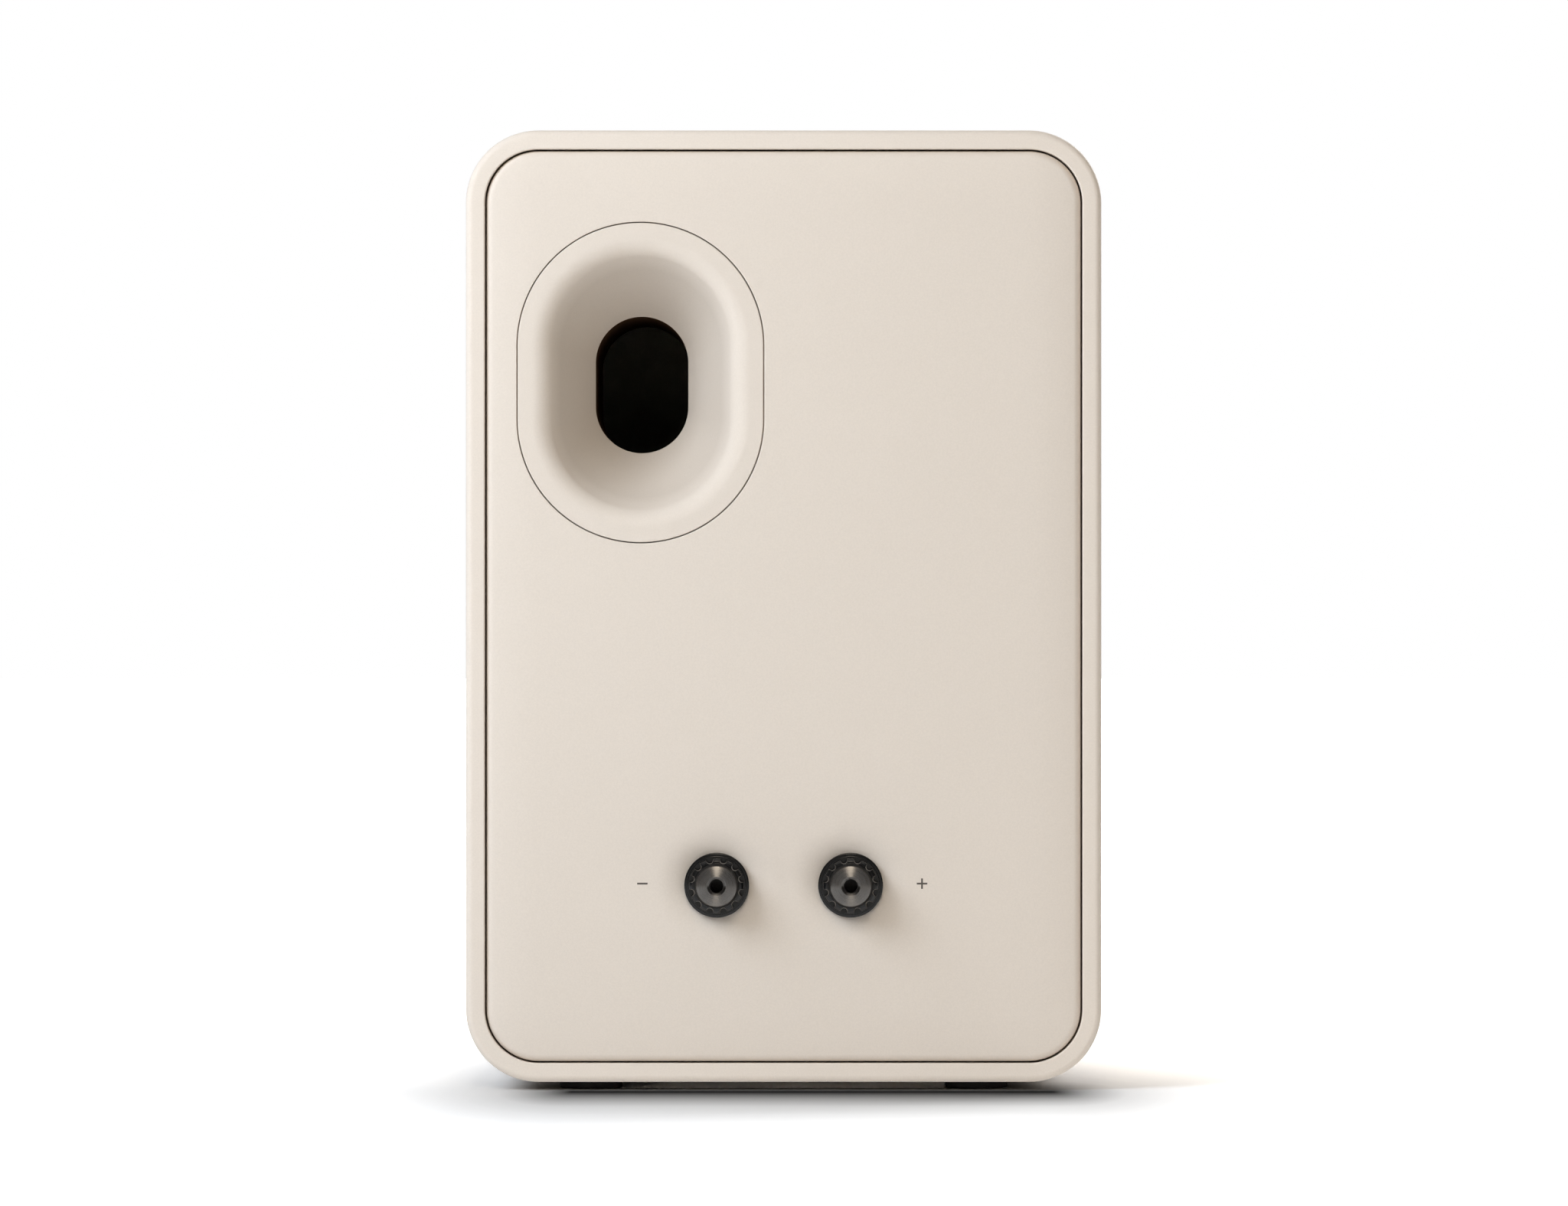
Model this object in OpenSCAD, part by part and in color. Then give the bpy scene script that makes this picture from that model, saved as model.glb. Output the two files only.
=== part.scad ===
// Two-way bookshelf loudspeaker: a coaxial driver in a domed moulded baffle, a wooden shell, and a
// rear panel with a bell-mouthed port and two screw terminals.
// X runs across the cabinet, Y from the front baffle to the terminals, Z up from the floor.
// The origin is on the floor, under the middle of the whole speaker.

/* [Cabinet] */
// Width of the cabinet
body_w = 200; // [196:1:220]
// Height of the cabinet without its feet
body_h = 299.4; // [290:0.2:330]
// Length of the wooden shell, from the baffle's seam to the rear rim
shell_d = 239.6; // [236:0.2:280]
// Thickness of the shell's walls
wall_t = 16; // [15:0.5:17]
// Radius of the cabinet's long corners
corner_r = 22.8; // [21:0.2:25]
// Width of the rim that frames the rear panel
rim_w = 6; // [5:0.5:7]
// Rounding of the rim's outer edge
rim_round = 2.2; // [1.5:0.1:3]
// Rounding of the rim's inner edge
rim_inner_round = 0.5; // [0.3:0.1:0.8]
// Depth and width of the groove that marks the baffle's seam
seam_groove = 0.6; // [0.3:0.1:1]

/* [Rear panel] */
// Thickness of the rear panel
panel_t = 15; // [14:0.5:18]
// How far the panel's face stands past the rim
panel_proud = 1; // [0.5:0.1:1.5]
// Gap between the panel's edge and the rim
panel_gap = 0.55; // [0.4:0.05:0.8]
// Rounding of the panel's edge
panel_edge_r = 2.6; // [2:0.2:3]
// Radius of the shallow curve that leads from the panel's flat to its edge
panel_pillow_r = 105; // [90:5:140]
// Thickness of the foam seal behind the panel
seal_t = 1.5; // [1:0.25:2]

/* [Port] */
// Distance of the port's axis from the nearer side of the cabinet
port_side = 55; // [54:0.5:58]
// Distance of the port's axis below the cabinet's top
port_down = 79.4; // [75.4:0.1:84.4]
// Half width of the bell's outline
bell_r = 38.6; // [38:0.2:39.6]
// Half length of the straight sides of the bell's outline
bell_s = 11.6; // [10:0.2:12]
// Gap round the bell's flange
bell_gap = 0.35; // [0.25:0.05:0.5]
// Thickness of the bell's flange
bell_flange_t = 4; // [3.5:0.25:5]
// Width of the flat land between the outline and the roll
bell_land = 4.4; // [3.5:0.1:5]
// Radius of the roll
roll_r = 7.1; // [6.5:0.1:7.5]
// Angle at which the roll runs into the funnel
funnel_angle = 63; // [61:0.5:65]
// Half width of the throat
throat_r = 14.7; // [13.5:0.05:15]
// Half length of the straight sides of the throat
throat_s = 7; // [6.5:0.05:8]
// Wall of the flexible port tube
tube_wall = 3; // [2.5:0.25:3.5]
// Length of the flexible port tube
tube_len = 100; // [90:1:110]
// How deep the tube sits in the bell's collar
socket_d = 12; // [10:1:14]
// Radius of the bell mouth on the tube's inner end
inner_flare_r = 7; // [5:0.5:8]

/* [Terminals] */
// Distance between the two terminals
post_pitch = 42.1; // [40:0.1:46]
// Height of the terminals above the cabinet's bottom
post_up = 62; // [60:0.5:70]
// Depth of the dimple round each terminal
dimple_d = 1.8; // [1.4:0.1:2.4]
// Radius of the dimple's flat floor
dimple_floor_r = 10.6; // [10.4:0.1:11]
// Radius at which the dimple meets the panel's face
dimple_r = 19.2; // [17.6:0.2:20.6]
// Radius of the clamp ring
clamp_r = 10.2; // [9.6:0.1:10.4]
// Thickness of the clamp ring
clamp_t = 2.4; // [2:0.1:3.2]
// Radius of the terminal nut's grip
grip_r = 8.6; // [8.2:0.1:8.8]
// Length of the nut's grip
grip_len = 4.9; // [4.5:0.1:5.5]
// Number of flutes round the grip
flute_n = 12; // [10:1:14]
// Radius of each flute
flute_r = 1; // [0.8:0.1:1.1]
// Radius of the nut's turned end face
end_r = 6.3; // [6:0.1:6.6]
// Length of the nut's tapered nose
nose_h = 4.7; // [4:0.1:5.5]
// Radius of the threaded post
post_r = 4; // [3.8:0.1:4.2]
// Radius of the socket for a 4 mm plug
socket_r = 2.05; // [2.02:0.01:2.1]
// Depth of the socket
socket_len = 17; // [15:0.5:20]
// Radius of the cross hole for bare wire
wire_hole_r = 1.4; // [1:0.1:1.5]
// How far a nut unscrews
nut_travel = 6.25; // [5:0.25:6.5]

/* [Baffle] */
// Depth of the baffle's domed part
dome_d = 20; // [18:0.5:22]
// Depth of the straight band behind the dome
band_d = 6; // [5:0.5:8]
// Radius of the flat land round the driver
baffle_flat_r = 78; // [77:0.5:80]
// Thickness of the lip that locates the baffle in the shell
spigot_t = 6; // [5:0.5:7]
// Length of that lip
spigot_d = 8; // [6:0.5:10]
// Clearance of that lip in the shell
spigot_gap = 0.3; // [0.2:0.05:0.4]

/* [Driver frame] */
// Radius of the trim ring
trim_r = 75; // [74.6:0.1:75.4]
// Inner radius of the trim ring
trim_in_r = 66.2; // [65.8:0.1:66.6]
// Thickness of the trim ring
trim_t = 3; // [2.6:0.1:3.4]
// Clearance between the trim ring and the baffle
trim_gap = 0.3; // [0.2:0.05:0.4]
// Thickness of the frame's flange
flange_t = 4.5; // [4:0.25:5]
// Thickness of the gasket under the flange
gasket_t = 1.5; // [1:0.25:2]
// Number of spokes, and of bolts between them
spoke_n = 6; // [5:1:8]
// Width of a spoke
spoke_w = 9; // [7:0.5:11]
// Length of the bolts under their heads
bolt_len = 12; // [10:0.5:14]

/* [Woofer] */
// Outer radius of the cone
cone_r = 58.2; // [57.8:0.1:58.4]
// Inner radius of the cone's neck
neck_r = 22.4; // [22.3:0.1:22.8]
// Distance of the neck behind the baffle's face
neck_f = 28.2; // [27.8:0.1:28.6]
// Distance of the cone's rim behind the baffle's face
rim_f = 7.6; // [7.2:0.1:8]
// Thickness of the cone
cone_t = 0.8; // [0.6:0.1:1]
// Travel of the cone each way from rest
cone_travel = 4; // [3:0.5:4]
// Outer radius of the voice coil's former
former_r = 25; // [24.9:0.05:25.1]
// Distance of the magnet's front plate behind the baffle's face
motor_f = 48; // [47.5:0.5:50]
// Thickness of the front plate
plate_t = 6; // [5:0.5:7]
// Thickness of the magnet ring
magnet_t = 18; // [16:1:20]
// Radius of the magnet ring
magnet_r = 50; // [48.5:0.5:51]
// Thickness of the back plate
back_plate_t = 7; // [6:0.5:8]
// Height of the coil's winding
coil_h = 12; // [10:0.5:13]

/* [Tweeter] */
// Radius of the dome
dome_r = 12.6; // [12.4:0.1:12.7]
// Height of the dome
dome_h = 5.4; // [5:0.1:5.6]
// Distance of the dome's base behind the baffle's face
dome_f = 33; // [32.8:0.1:33.4]
// Number of radial fins in front of the dome
fin_n = 9; // [7:1:11]
// Thickness of a fin
fin_t = 1.1; // [0.8:0.1:1.4]
// Air gap between the fins and the dome
fin_gap = 1; // [0.8:0.1:1.2]
// Travel of the dome each way from rest
dome_travel = 0.4; // [0.2:0.1:0.5]
// Radius of the absorber behind the motor
absorber_r = 44; // [42:0.5:45]
// Thickness of the absorber without its cover
absorber_t = 9; // [8:0.5:11]
// Number of concentric channels in the absorber
channel_n = 7; // [5:1:8]

/* [Inside] */
// Thickness of the braces
brace_t = 12; // [10:0.5:14]
// Thickness of the pads between braces and walls
pad_t = 1.5; // [1:0.25:2]
// Length of the braces, from the motor to their rear edge
brace_d = 108; // [100:1:112]
// Radius of the holes in the braces
brace_hole_r = 13; // [10:0.5:14]
// Thickness of the damping foam
foam_t = 12; // [8:0.5:12.5]
// Width of a crossover board
board_w = 56; // [54:1:60]
// Length of a crossover board
board_l = 100; // [98:1:104]
// Thickness of a crossover board
board_t = 1.6; // [1.6:0.2:2]
// Height of the boards above the floor of the cabinet
board_up = 6; // [5:0.5:8]
// Radius of the largest coil on the boards
choke_r = 19; // [18:0.5:20]
// Height of that coil
choke_h = 22; // [18:1:26]
// Radius of the largest capacitor
capacitor_r = 8; // [7:0.5:8.5]
// Length of the largest capacitor
capacitor_l = 36; // [32:1:38]
// Width and height of a resistor
resistor_w = 9; // [8:0.5:9.5]
// Length of a resistor
resistor_l = 24; // [20:1:25]
// Radius of a lead
lead_r = 1.3; // [1:0.1:1.5]
// Size of the bends in the leads
lead_bend = 10; // [8:0.5:11]

/* [Base] */
// Radius of a rubber foot
foot_r = 9.9; // [9:0.1:11]
// Height of a rubber foot
foot_h = 2.6; // [2.4:0.1:4]
// Distance of the feet from the cabinet's middle plane
foot_x = 60.9; // [58:0.5:64]
// Distance of a foot's axis from the seam or the rear rim
foot_in = 18; // [16:0.5:24]
// Radius of the tapped hole in a stand insert
insert_r = 2.5; // [2.4:0.05:2.6]
// Outer radius of a stand insert
insert_body_r = 4.5; // [4.2:0.1:5]
// Length of a stand insert
insert_len = 12; // [10:0.5:13]
// Distance of the inserts from the cabinet's middle plane
insert_x = 50; // [44:1:56]
// Distance of the inserts from the middle of the shell's length
insert_y = 60; // [50:1:70]

/* [Hidden] */
$fn = 48;

// Small clearances that several seats share
glue_gap = 0.05;
loose_fit = 0.15;
past = 0.1; // how far a cutting tool reaches past what it cuts

// The terminal nut, from its grip to its nose
bush_flange_t = 0.6;
chamfer_h = 0.6;
face_dish = 0.3;
nut_len = grip_len + chamfer_h + nose_h + face_dish;

// Places along Y, from the front
tip_reach = bush_flange_t + clamp_t + nut_len - dimple_d + panel_proud;
total_d = dome_d + band_d + shell_d + tip_reach;
front_y = -total_d / 2;
seam_y = front_y + dome_d + band_d;
rim_y = seam_y + shell_d;
face_y = rim_y + panel_proud;
panel_back_y = face_y - panel_t;
ledge_y = panel_back_y - seal_t;
mid_z = foot_h + body_h / 2;
floor_z = foot_h + wall_t;
room_w = body_w - 2 * wall_t;
room_h = body_h - 2 * wall_t;

// ---------------------------------------------------------------- shared shapes

// What a rounding takes off a convex corner at p.
// Quarter 0 is a top right corner, and they run anticlockwise.
module corner_cut(p, r, quarter) {
    translate(p) rotate(90 * quarter) translate([-r, -r]) difference() {
        square(r + past);
        circle(r);
    }
}

// A slot shape with round ends: half width r, half straight length s, standing up
module stadium(r, s) {
    square([2 * r, 2 * s], center = true);
    for (side = [-1, 1])
        translate([0, side * s]) circle(r);
}

// Extrudes an outline drawn in X and Z from y0 to y1
module slab(y0, y1) {
    translate([0, y1, 0]) rotate([90, 0, 0]) linear_extrude(y1 - y0) children();
}

// Carries a profile, drawn as outward offset and Y, round a rounded rectangle about the Y axis
module frame_sweep(w, h, r) {
    for (c = [[1, 1, -90], [-1, 1, -180], [-1, -1, 90], [1, -1, 0]])
        translate([c[0] * (w / 2 - r), 0, c[1] * (h / 2 - r)])
            rotate([-90, 0, 0]) rotate([0, 0, c[2]])
                rotate_extrude(angle = 90) translate([r, 0]) children();
    for (side = [0, 1]) {
        mirror([side, 0, 0]) translate([w / 2, 0, r - h / 2])
            linear_extrude(h - 2 * r) children();
        mirror([0, 0, side]) rotate([0, -90, 0]) translate([h / 2, 0, r - w / 2])
            linear_extrude(w - 2 * r) children();
    }
}

// Places what is turned about the driver's axis: local Z is the distance behind the baffle's face
module at_driver() {
    translate([0, front_y, mid_z]) rotate([-90, 0, 0]) children();
}

// A body of revolution about the driver's axis, from points of radius and distance behind the face
module turned(points) {
    at_driver() rotate_extrude() polygon(points);
}

module ring(r_out, r_in, f0, f1) {
    turned([[r_in, f0], [r_out, f0], [r_out, f1], [r_in, f1]]);
}

module around(n, first = 0) {
    for (i = [0:n - 1])
        rotate([0, 0, first + i * 360 / n]) children();
}

function total(points, i = 0) = i == len(points) - 1 ? points[i] : points[i] + total(points, i + 1);

// Joins rings of equal point counts into one closed solid
module loft(rings) {
    n = len(rings[0]);
    last = len(rings) - 1;
    centres = [total(rings[0]) / n, total(rings[last]) / n];
    points = concat([for (each_ring = rings) for (p = each_ring) p], centres);
    sides = [for (k = [0:last - 1]) for (i = [0:n - 1]) for (half = [0, 1])
        let (a = k * n + i, b = k * n + (i + 1) % n) half == 0 ? [a, b, b + n] : [a, b + n, a + n]];
    first_cap = [for (i = [0:n - 1]) [(i + 1) % n, i, (last + 1) * n]];
    last_cap = [for (i = [0:n - 1]) [last * n + i, last * n + (i + 1) % n, (last + 1) * n + 1]];
    polyhedron(points, concat(sides, first_cap, last_cap), convexity = 6);
}

// ---------------------------------------------------------------- cabinet

module shell_profile() {
    difference() {
        translate([-wall_t, seam_y]) square([wall_t, shell_d]);
        translate([-wall_t - past, ledge_y]) square([wall_t - rim_w + past, shell_d]);
        corner_cut([0, rim_y], rim_round, 0);
        corner_cut([-rim_w, rim_y], rim_inner_round, 1);
        polygon([[past, seam_y - past], [past, seam_y + seam_groove + past], [-seam_groove, seam_y - past]]);
    }
}

module at_inserts() {
    for (sx = [-1, 1], sy = [-1, 1])
        translate([sx * insert_x, (seam_y + rim_y) / 2 + sy * insert_y, foot_h]) children();
}

module cabinet_shell() {
    color("antiquewhite") difference() {
        translate([0, 0, mid_z]) frame_sweep(body_w, body_h, corner_r) shell_profile();
        at_inserts() translate([0, 0, -past]) cylinder(r = insert_body_r, h = insert_len + past);
    }
}

module stand_inserts() {
    color("goldenrod") at_inserts() difference() {
        cylinder(r = insert_body_r - glue_gap, h = insert_len);
        translate([0, 0, -past]) cylinder(r = insert_r, h = insert_len + 2 * past);
    }
}

module rubber_feet() {
    foot_edge = 0.4;
    color("dimgray") for (sx = [-1, 1], y = [seam_y + foot_in, rim_y - foot_in])
        translate([sx * foot_x, y, 0]) {
            cylinder(r1 = foot_r - foot_edge, r2 = foot_r, h = foot_edge);
            translate([0, 0, foot_edge]) cylinder(r = foot_r, h = foot_h - foot_edge);
        }
}

// ---------------------------------------------------------------- baffle

// Points round a quarter of the cabinet's outline: up the side, round the corner, in along the top
function quarter_outline(w, h, r) = concat(
    [for (i = [0:6]) [w / 2, i / 7 * (h / 2 - r)]],
    [for (i = [0:9]) [w / 2 - r + r * cos(i * 9), h / 2 - r + r * sin(i * 9)]],
    [for (i = [1:5]) [(w / 2 - r) * (1 - i / 6), h / 2]]);

function full_outline(w, h, r) = let (q = quarter_outline(w, h, r), n = len(q)) concat(
    q,
    [for (i = [0:n - 1]) let (p = (i == 0) ? [0, h / 2] : q[n - i]) [-p[0], p[1]]],
    [for (p = q) -p],
    [for (i = [0:n - 1]) let (p = (i == 0) ? [0, h / 2] : q[n - i]) [p[0], -p[1]]]);

// A ring of the dome: a share u of the way from the flat land's circle to the outline,
// at a distance f behind the face
function dome_ring(outline, u, f) = [for (p = outline)
    let (q = p / norm(p) * baffle_flat_r, m = q + (p - q) * u) [m[0], f, m[1]]];

module baffle_dome() {
    outline = full_outline(body_w, body_h, corner_r);
    steps = 10;
    rings = concat(
        [for (k = [0:steps]) dome_ring(outline, sin(k * 90 / steps), dome_d * (1 - cos(k * 90 / steps)))],
        [dome_ring(outline, 1, dome_d + band_d)]);
    translate([0, front_y, mid_z]) loft(rings);
}

frame_r = trim_r - 0.4;
flange_in_r = 67.4;
bolt_circle_r = (flange_in_r + frame_r) / 2;
seat_f = trim_t + flange_t + gasket_t;
opening_r = flange_in_r - 0.4;
bolt_r = 1.9;
head_r = 3.1;
head_h = 2.5;

module at_bolts() {
    at_driver() around(spoke_n, 180 / spoke_n) translate([bolt_circle_r, 0, 0]) children();
}

module front_baffle() {
    spigot_r = corner_r - wall_t - spigot_gap;
    color("antiquewhite") {
        difference() {
            baffle_dome();
            at_driver() translate([0, 0, -past]) cylinder(r = trim_r + trim_gap, h = seat_f + past);
            at_driver() cylinder(r = opening_r, h = dome_d + band_d + past);
            at_bolts() translate([0, 0, seat_f - past]) cylinder(r = bolt_r + loose_fit, h = bolt_len);
        }
        translate([0, 0, mid_z])
            frame_sweep(room_w - 2 * spigot_gap, room_h - 2 * spigot_gap, spigot_r)
                translate([-spigot_t, seam_y]) square([spigot_t, spigot_d]);
    }
}

// ---------------------------------------------------------------- rear panel

panel_w = body_w - 2 * rim_w - 2 * panel_gap;
panel_h = body_h - 2 * rim_w - 2 * panel_gap;
panel_r = corner_r - rim_w - panel_gap;
port_x = body_w / 2 - port_side;
port_z = foot_h + body_h - port_down;
post_z = foot_h + post_up;

// The panel's edge: a shallow curve of pillow_r that a tighter one turns down to the side
module panel_edge_profile() {
    pillow = [-panel_r, face_y - panel_pillow_r];
    edge = [-panel_edge_r, pillow[1] + sqrt(pow(panel_pillow_r - panel_edge_r, 2)
        - pow(panel_r - panel_edge_r, 2))];
    way = (edge - pillow) / norm(edge - pillow);
    difference() {
        intersection() {
            translate([-panel_r, panel_back_y]) square([panel_r, panel_t]);
            translate(pillow) circle(panel_pillow_r);
        }
        difference() {
            polygon([edge, [1, edge[1]], [1, face_y + 1], pillow + way * (panel_pillow_r + 2)]);
            translate(edge) circle(panel_edge_r);
        }
    }
}

module at_port() {
    translate([port_x, 0, port_z]) children();
}

// side -1 is the plus terminal and side 1 the minus one
module at_post(side) {
    translate([side * post_pitch / 2, face_y - dimple_d, post_z]) rotate([-90, 0, 0]) children();
}

// The dimple's wall is a long round arc down from the face, then a short hollow one into the floor
module dimple_cut() {
    hollow_share = 0.2;
    wall_w = dimple_r - dimple_floor_r;
    hollow_w = hollow_share * wall_w;
    hollow_d = hollow_share * dimple_d;
    arcs_r = (wall_w * wall_w + dimple_d * dimple_d) / (2 * dimple_d);
    hollow_r = hollow_share * arcs_r;
    round_r = arcs_r - hollow_r;
    rotate_extrude() difference() {
        union() {
            square([dimple_floor_r + hollow_w, dimple_d + 1]);
            translate([0, hollow_d]) square([dimple_r, dimple_d]);
        }
        translate([dimple_r, dimple_d - round_r]) circle(round_r);
        difference() {
            translate([dimple_floor_r, -past]) square([hollow_w + past, hollow_d + past]);
            translate([dimple_floor_r, hollow_r]) circle(hollow_r);
        }
    }
}

bush_tube_r = post_r + 2;
bush_flange_r = clamp_r - 0.8;

module rear_panel() {
    core_w = panel_w - 2 * panel_r;
    core_h = panel_h - 2 * panel_r;
    color("antiquewhite") difference() {
        union() {
            translate([0, 0, mid_z]) frame_sweep(panel_w, panel_h, panel_r) panel_edge_profile();
            translate([-core_w / 2, panel_back_y, mid_z - core_h / 2]) cube([core_w, panel_t, core_h]);
        }
        at_port() slab(face_y - bell_flange_t, face_y + 2) stadium(bell_r + bell_gap, bell_s);
        at_port() slab(panel_back_y - past, face_y) stadium(bell_body_r + bell_gap, bell_s);
        for (side = [-1, 1])
            at_post(side) {
                dimple_cut();
                translate([0, 0, -panel_t]) cylinder(r = bush_tube_r + loose_fit, h = panel_t + past);
            }
    }
}

module rear_panel_seal() {
    seal_w = wall_t - rim_w - 1;
    seal_clear = 0.4;
    color("dimgray") translate([0, 0, mid_z])
        frame_sweep(panel_w - 2 * seal_clear, panel_h - 2 * seal_clear, panel_r - seal_clear)
            translate([-seal_w + seal_clear, ledge_y]) square([seal_w, seal_t]);
}

// ---------------------------------------------------------------- port

roll_out_r = bell_r - bell_land;
funnel_r = roll_out_r - roll_r * sin(funnel_angle);
roll_d = roll_r * (1 - cos(funnel_angle));
throat_d = roll_d + (funnel_r - throat_r) * tan(funnel_angle);
bell_body_r = bell_r - 6.2;
collar_r = funnel_r - 4;
tube_r = throat_r + tube_wall;
socket_wall = 3;
throat_y = face_y - throat_d;
socket_y = throat_y - socket_d;
tube_end_y = throat_y - tube_len;

function stadium_ring(r, s, y) = concat(
    [for (i = [0:18]) [r * cos(i * 10), y, r * sin(i * 10) + s]],
    [for (i = [18:36]) [r * cos(i * 10), y, r * sin(i * 10) - s]]);

// The hollow of the bell: down the roll from a first small angle, then straight in to the throat
module bell_hollow() {
    first = 8;
    steps = 6;
    roll = [for (k = [0:steps]) let (a = first + (funnel_angle - first) * k / steps)
        [roll_out_r - roll_r * sin(a), bell_s, -roll_r * (1 - cos(a))]];
    cone_steps = 3;
    cone = [for (k = [1:cone_steps]) let (u = k / cone_steps)
        [funnel_r + (throat_r - funnel_r) * u, bell_s + (throat_s - bell_s) * u,
            -roll_d - (throat_d - roll_d) * u]];
    stations = concat([[roll[0][0], bell_s, 1]], roll, cone, [[throat_r, throat_s, -throat_d - past]]);
    rings = [for (i = [len(stations) - 1:-1:0])
        stadium_ring(stations[i][0], stations[i][1], face_y + stations[i][2])];
    loft(rings);
}

module port_bell() {
    collar_d = throat_d - bell_flange_t - panel_t + 6;
    color("antiquewhite") at_port() difference() {
        union() {
            slab(face_y - bell_flange_t, face_y) stadium(bell_r, bell_s);
            slab(panel_back_y - 2, face_y - bell_flange_t) stadium(bell_body_r, bell_s);
            slab(throat_y, panel_back_y - 2) stadium(collar_r, bell_s);
            slab(socket_y, throat_y) stadium(tube_r + socket_wall, throat_s);
        }
        bell_hollow();
        slab(socket_y - past, throat_y) stadium(tube_r + glue_gap, throat_s);
    }
}

module port_tube() {
    color("black") at_port() slab(tube_end_y, throat_y) difference() {
        stadium(tube_r, throat_s);
        stadium(throat_r, throat_s);
    }
}

// The bell mouth on the inner end, which slips over the tube and turns outwards
module port_inner_flare() {
    sleeve_d = 10;
    sleeve_t = 2;
    lip_r = inner_flare_r;
    module flare_profile() {
        difference() {
            union() {
                translate([glue_gap, tube_end_y]) square([sleeve_t, sleeve_d]);
                translate([-tube_wall, tube_end_y - lip_r]) square([lip_r + tube_wall + sleeve_t, lip_r]);
            }
            translate([-tube_wall + lip_r, tube_end_y - lip_r - past]) square([lip_r + 10, past]);
            difference() {
                translate([-tube_wall - past, tube_end_y - lip_r - past])
                    square([lip_r + past, lip_r + past]);
                translate([-tube_wall + lip_r, tube_end_y]) circle(lip_r);
            }
        }
    }
    color("black") at_port() {
        for (side = [0, 1]) {
            mirror([0, 0, side]) translate([0, 0, throat_s]) rotate([-90, 0, 0]) rotate([0, 0, 180])
                rotate_extrude(angle = 180) translate([tube_r, 0]) flare_profile();
            mirror([side, 0, 0]) translate([tube_r, 0, -throat_s])
                linear_extrude(2 * throat_s) flare_profile();
        }
    }
}

// ---------------------------------------------------------------- terminals

crest_r = grip_r - 1.15;
mouth_r = socket_r + 0.9;
nut_hole_r = socket_r + 0.2;
end_wall = 1;
post_len = bush_flange_t + clamp_t + nut_len - end_wall - 0.5;
post_tail = panel_t - dimple_d + 9;

module post_bushes() {
    color("black") for (side = [-1, 1])
        at_post(side) difference() {
            union() {
                cylinder(r = bush_flange_r, h = bush_flange_t);
                translate([0, 0, dimple_d - panel_t]) cylinder(r = bush_tube_r, h = panel_t - dimple_d);
            }
            translate([0, 0, -panel_t]) cylinder(r = post_r + glue_gap, h = 2 * panel_t);
        }
}

module terminal_post(side) {
    color("dimgray") at_post(side) difference() {
        translate([0, 0, -post_tail]) cylinder(r = post_r, h = post_tail + post_len);
        translate([0, 0, post_len - socket_len]) cylinder(r = socket_r, h = socket_len + past);
        translate([0, 0, bush_flange_t + wire_hole_r]) rotate([0, 90, 0])
            cylinder(r = wire_hole_r, h = 4 * post_r, center = true);
    }
}

module minus_post() terminal_post(1);
module plus_post() terminal_post(-1);

lock_t = 3;

module post_lock_nuts() {
    lock_r = 7.5;
    color("silver") for (side = [-1, 1])
        at_post(side) translate([0, 0, dimple_d - panel_t - lock_t]) difference() {
            cylinder(r = lock_r, h = lock_t, $fn = 6);
            translate([0, 0, -past]) cylinder(r = post_r + glue_gap, h = lock_t + 2 * past);
        }
}

tag_f = dimple_d - panel_t - lock_t;
tag_t = 0.8;

module post_tags() {
    tag_w = 1.25 * post_r;
    color("goldenrod") for (side = [-1, 1])
        at_post(side) translate([0, 0, tag_f - tag_t]) difference() {
            union() {
                cylinder(r = 1.5 * post_r, h = tag_t);
                translate([-tag_w / 2, 0, 0]) cube([tag_w, 4 * post_r, tag_t]);
            }
            translate([0, 0, -past]) cylinder(r = post_r + glue_gap, h = tag_t + 2 * past);
            translate([0, 4 * post_r - 3, -past]) cylinder(r = 1, h = tag_t + 2 * past);
        }
}

module clamp_ring(side) {
    edge = 0.3;
    lip_r = grip_r + 0.6;
    color("black") at_post(side) translate([0, 0, bush_flange_t]) rotate_extrude() polygon([
        [post_r + loose_fit, 0], [clamp_r - edge, 0], [clamp_r, edge], [clamp_r, clamp_t - 2 * edge],
        [clamp_r - edge, clamp_t - edge], [lip_r + 0.1, clamp_t - edge], [lip_r, clamp_t],
        [post_r + loose_fit, clamp_t]]);
}

module minus_clamp_ring() clamp_ring(1);
module plus_clamp_ring() clamp_ring(-1);

module nut(side) {
    color("dimgray") at_post(side) translate([0, 0, bush_flange_t + clamp_t]) difference() {
        rotate_extrude() polygon([
            [post_r + glue_gap, 0], [grip_r, 0], [grip_r, grip_len - 0.2], [grip_r - 0.2, grip_len],
            [crest_r, grip_len + chamfer_h], [end_r, nut_len - face_dish - 0.2],
            [end_r - 0.2, nut_len - face_dish], [mouth_r, nut_len], [nut_hole_r, nut_len - 0.7],
            [nut_hole_r, nut_len - end_wall],
            [post_r + glue_gap, nut_len - end_wall]]);
        around(flute_n, 180 / flute_n) translate([grip_r - 0.25, 0, -past])
            cylinder(r = flute_r, h = nut_len);
    }
}

module minus_nut() nut(1);
module plus_nut() nut(-1);

// ---------------------------------------------------------------- driver frame

frame_wall_r = magnet_r + 1.5;
shelf_f = motor_f - 10;
collar_in_r = cone_r + 4;
surround_t = 0.9;
land_f = trim_t + surround_t + glue_gap;

module driver_trim_ring() {
    edge = 0.5;
    color("silver") at_driver() rotate_extrude() difference() {
        translate([trim_in_r, 0]) square([trim_r - trim_in_r, trim_t]);
        corner_cut([trim_r, 0], edge, 3);
        polygon([[trim_in_r - past, -past], [trim_in_r + 2.2, -past], [trim_in_r - past, trim_t - 0.8]]);
    }
}

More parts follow.
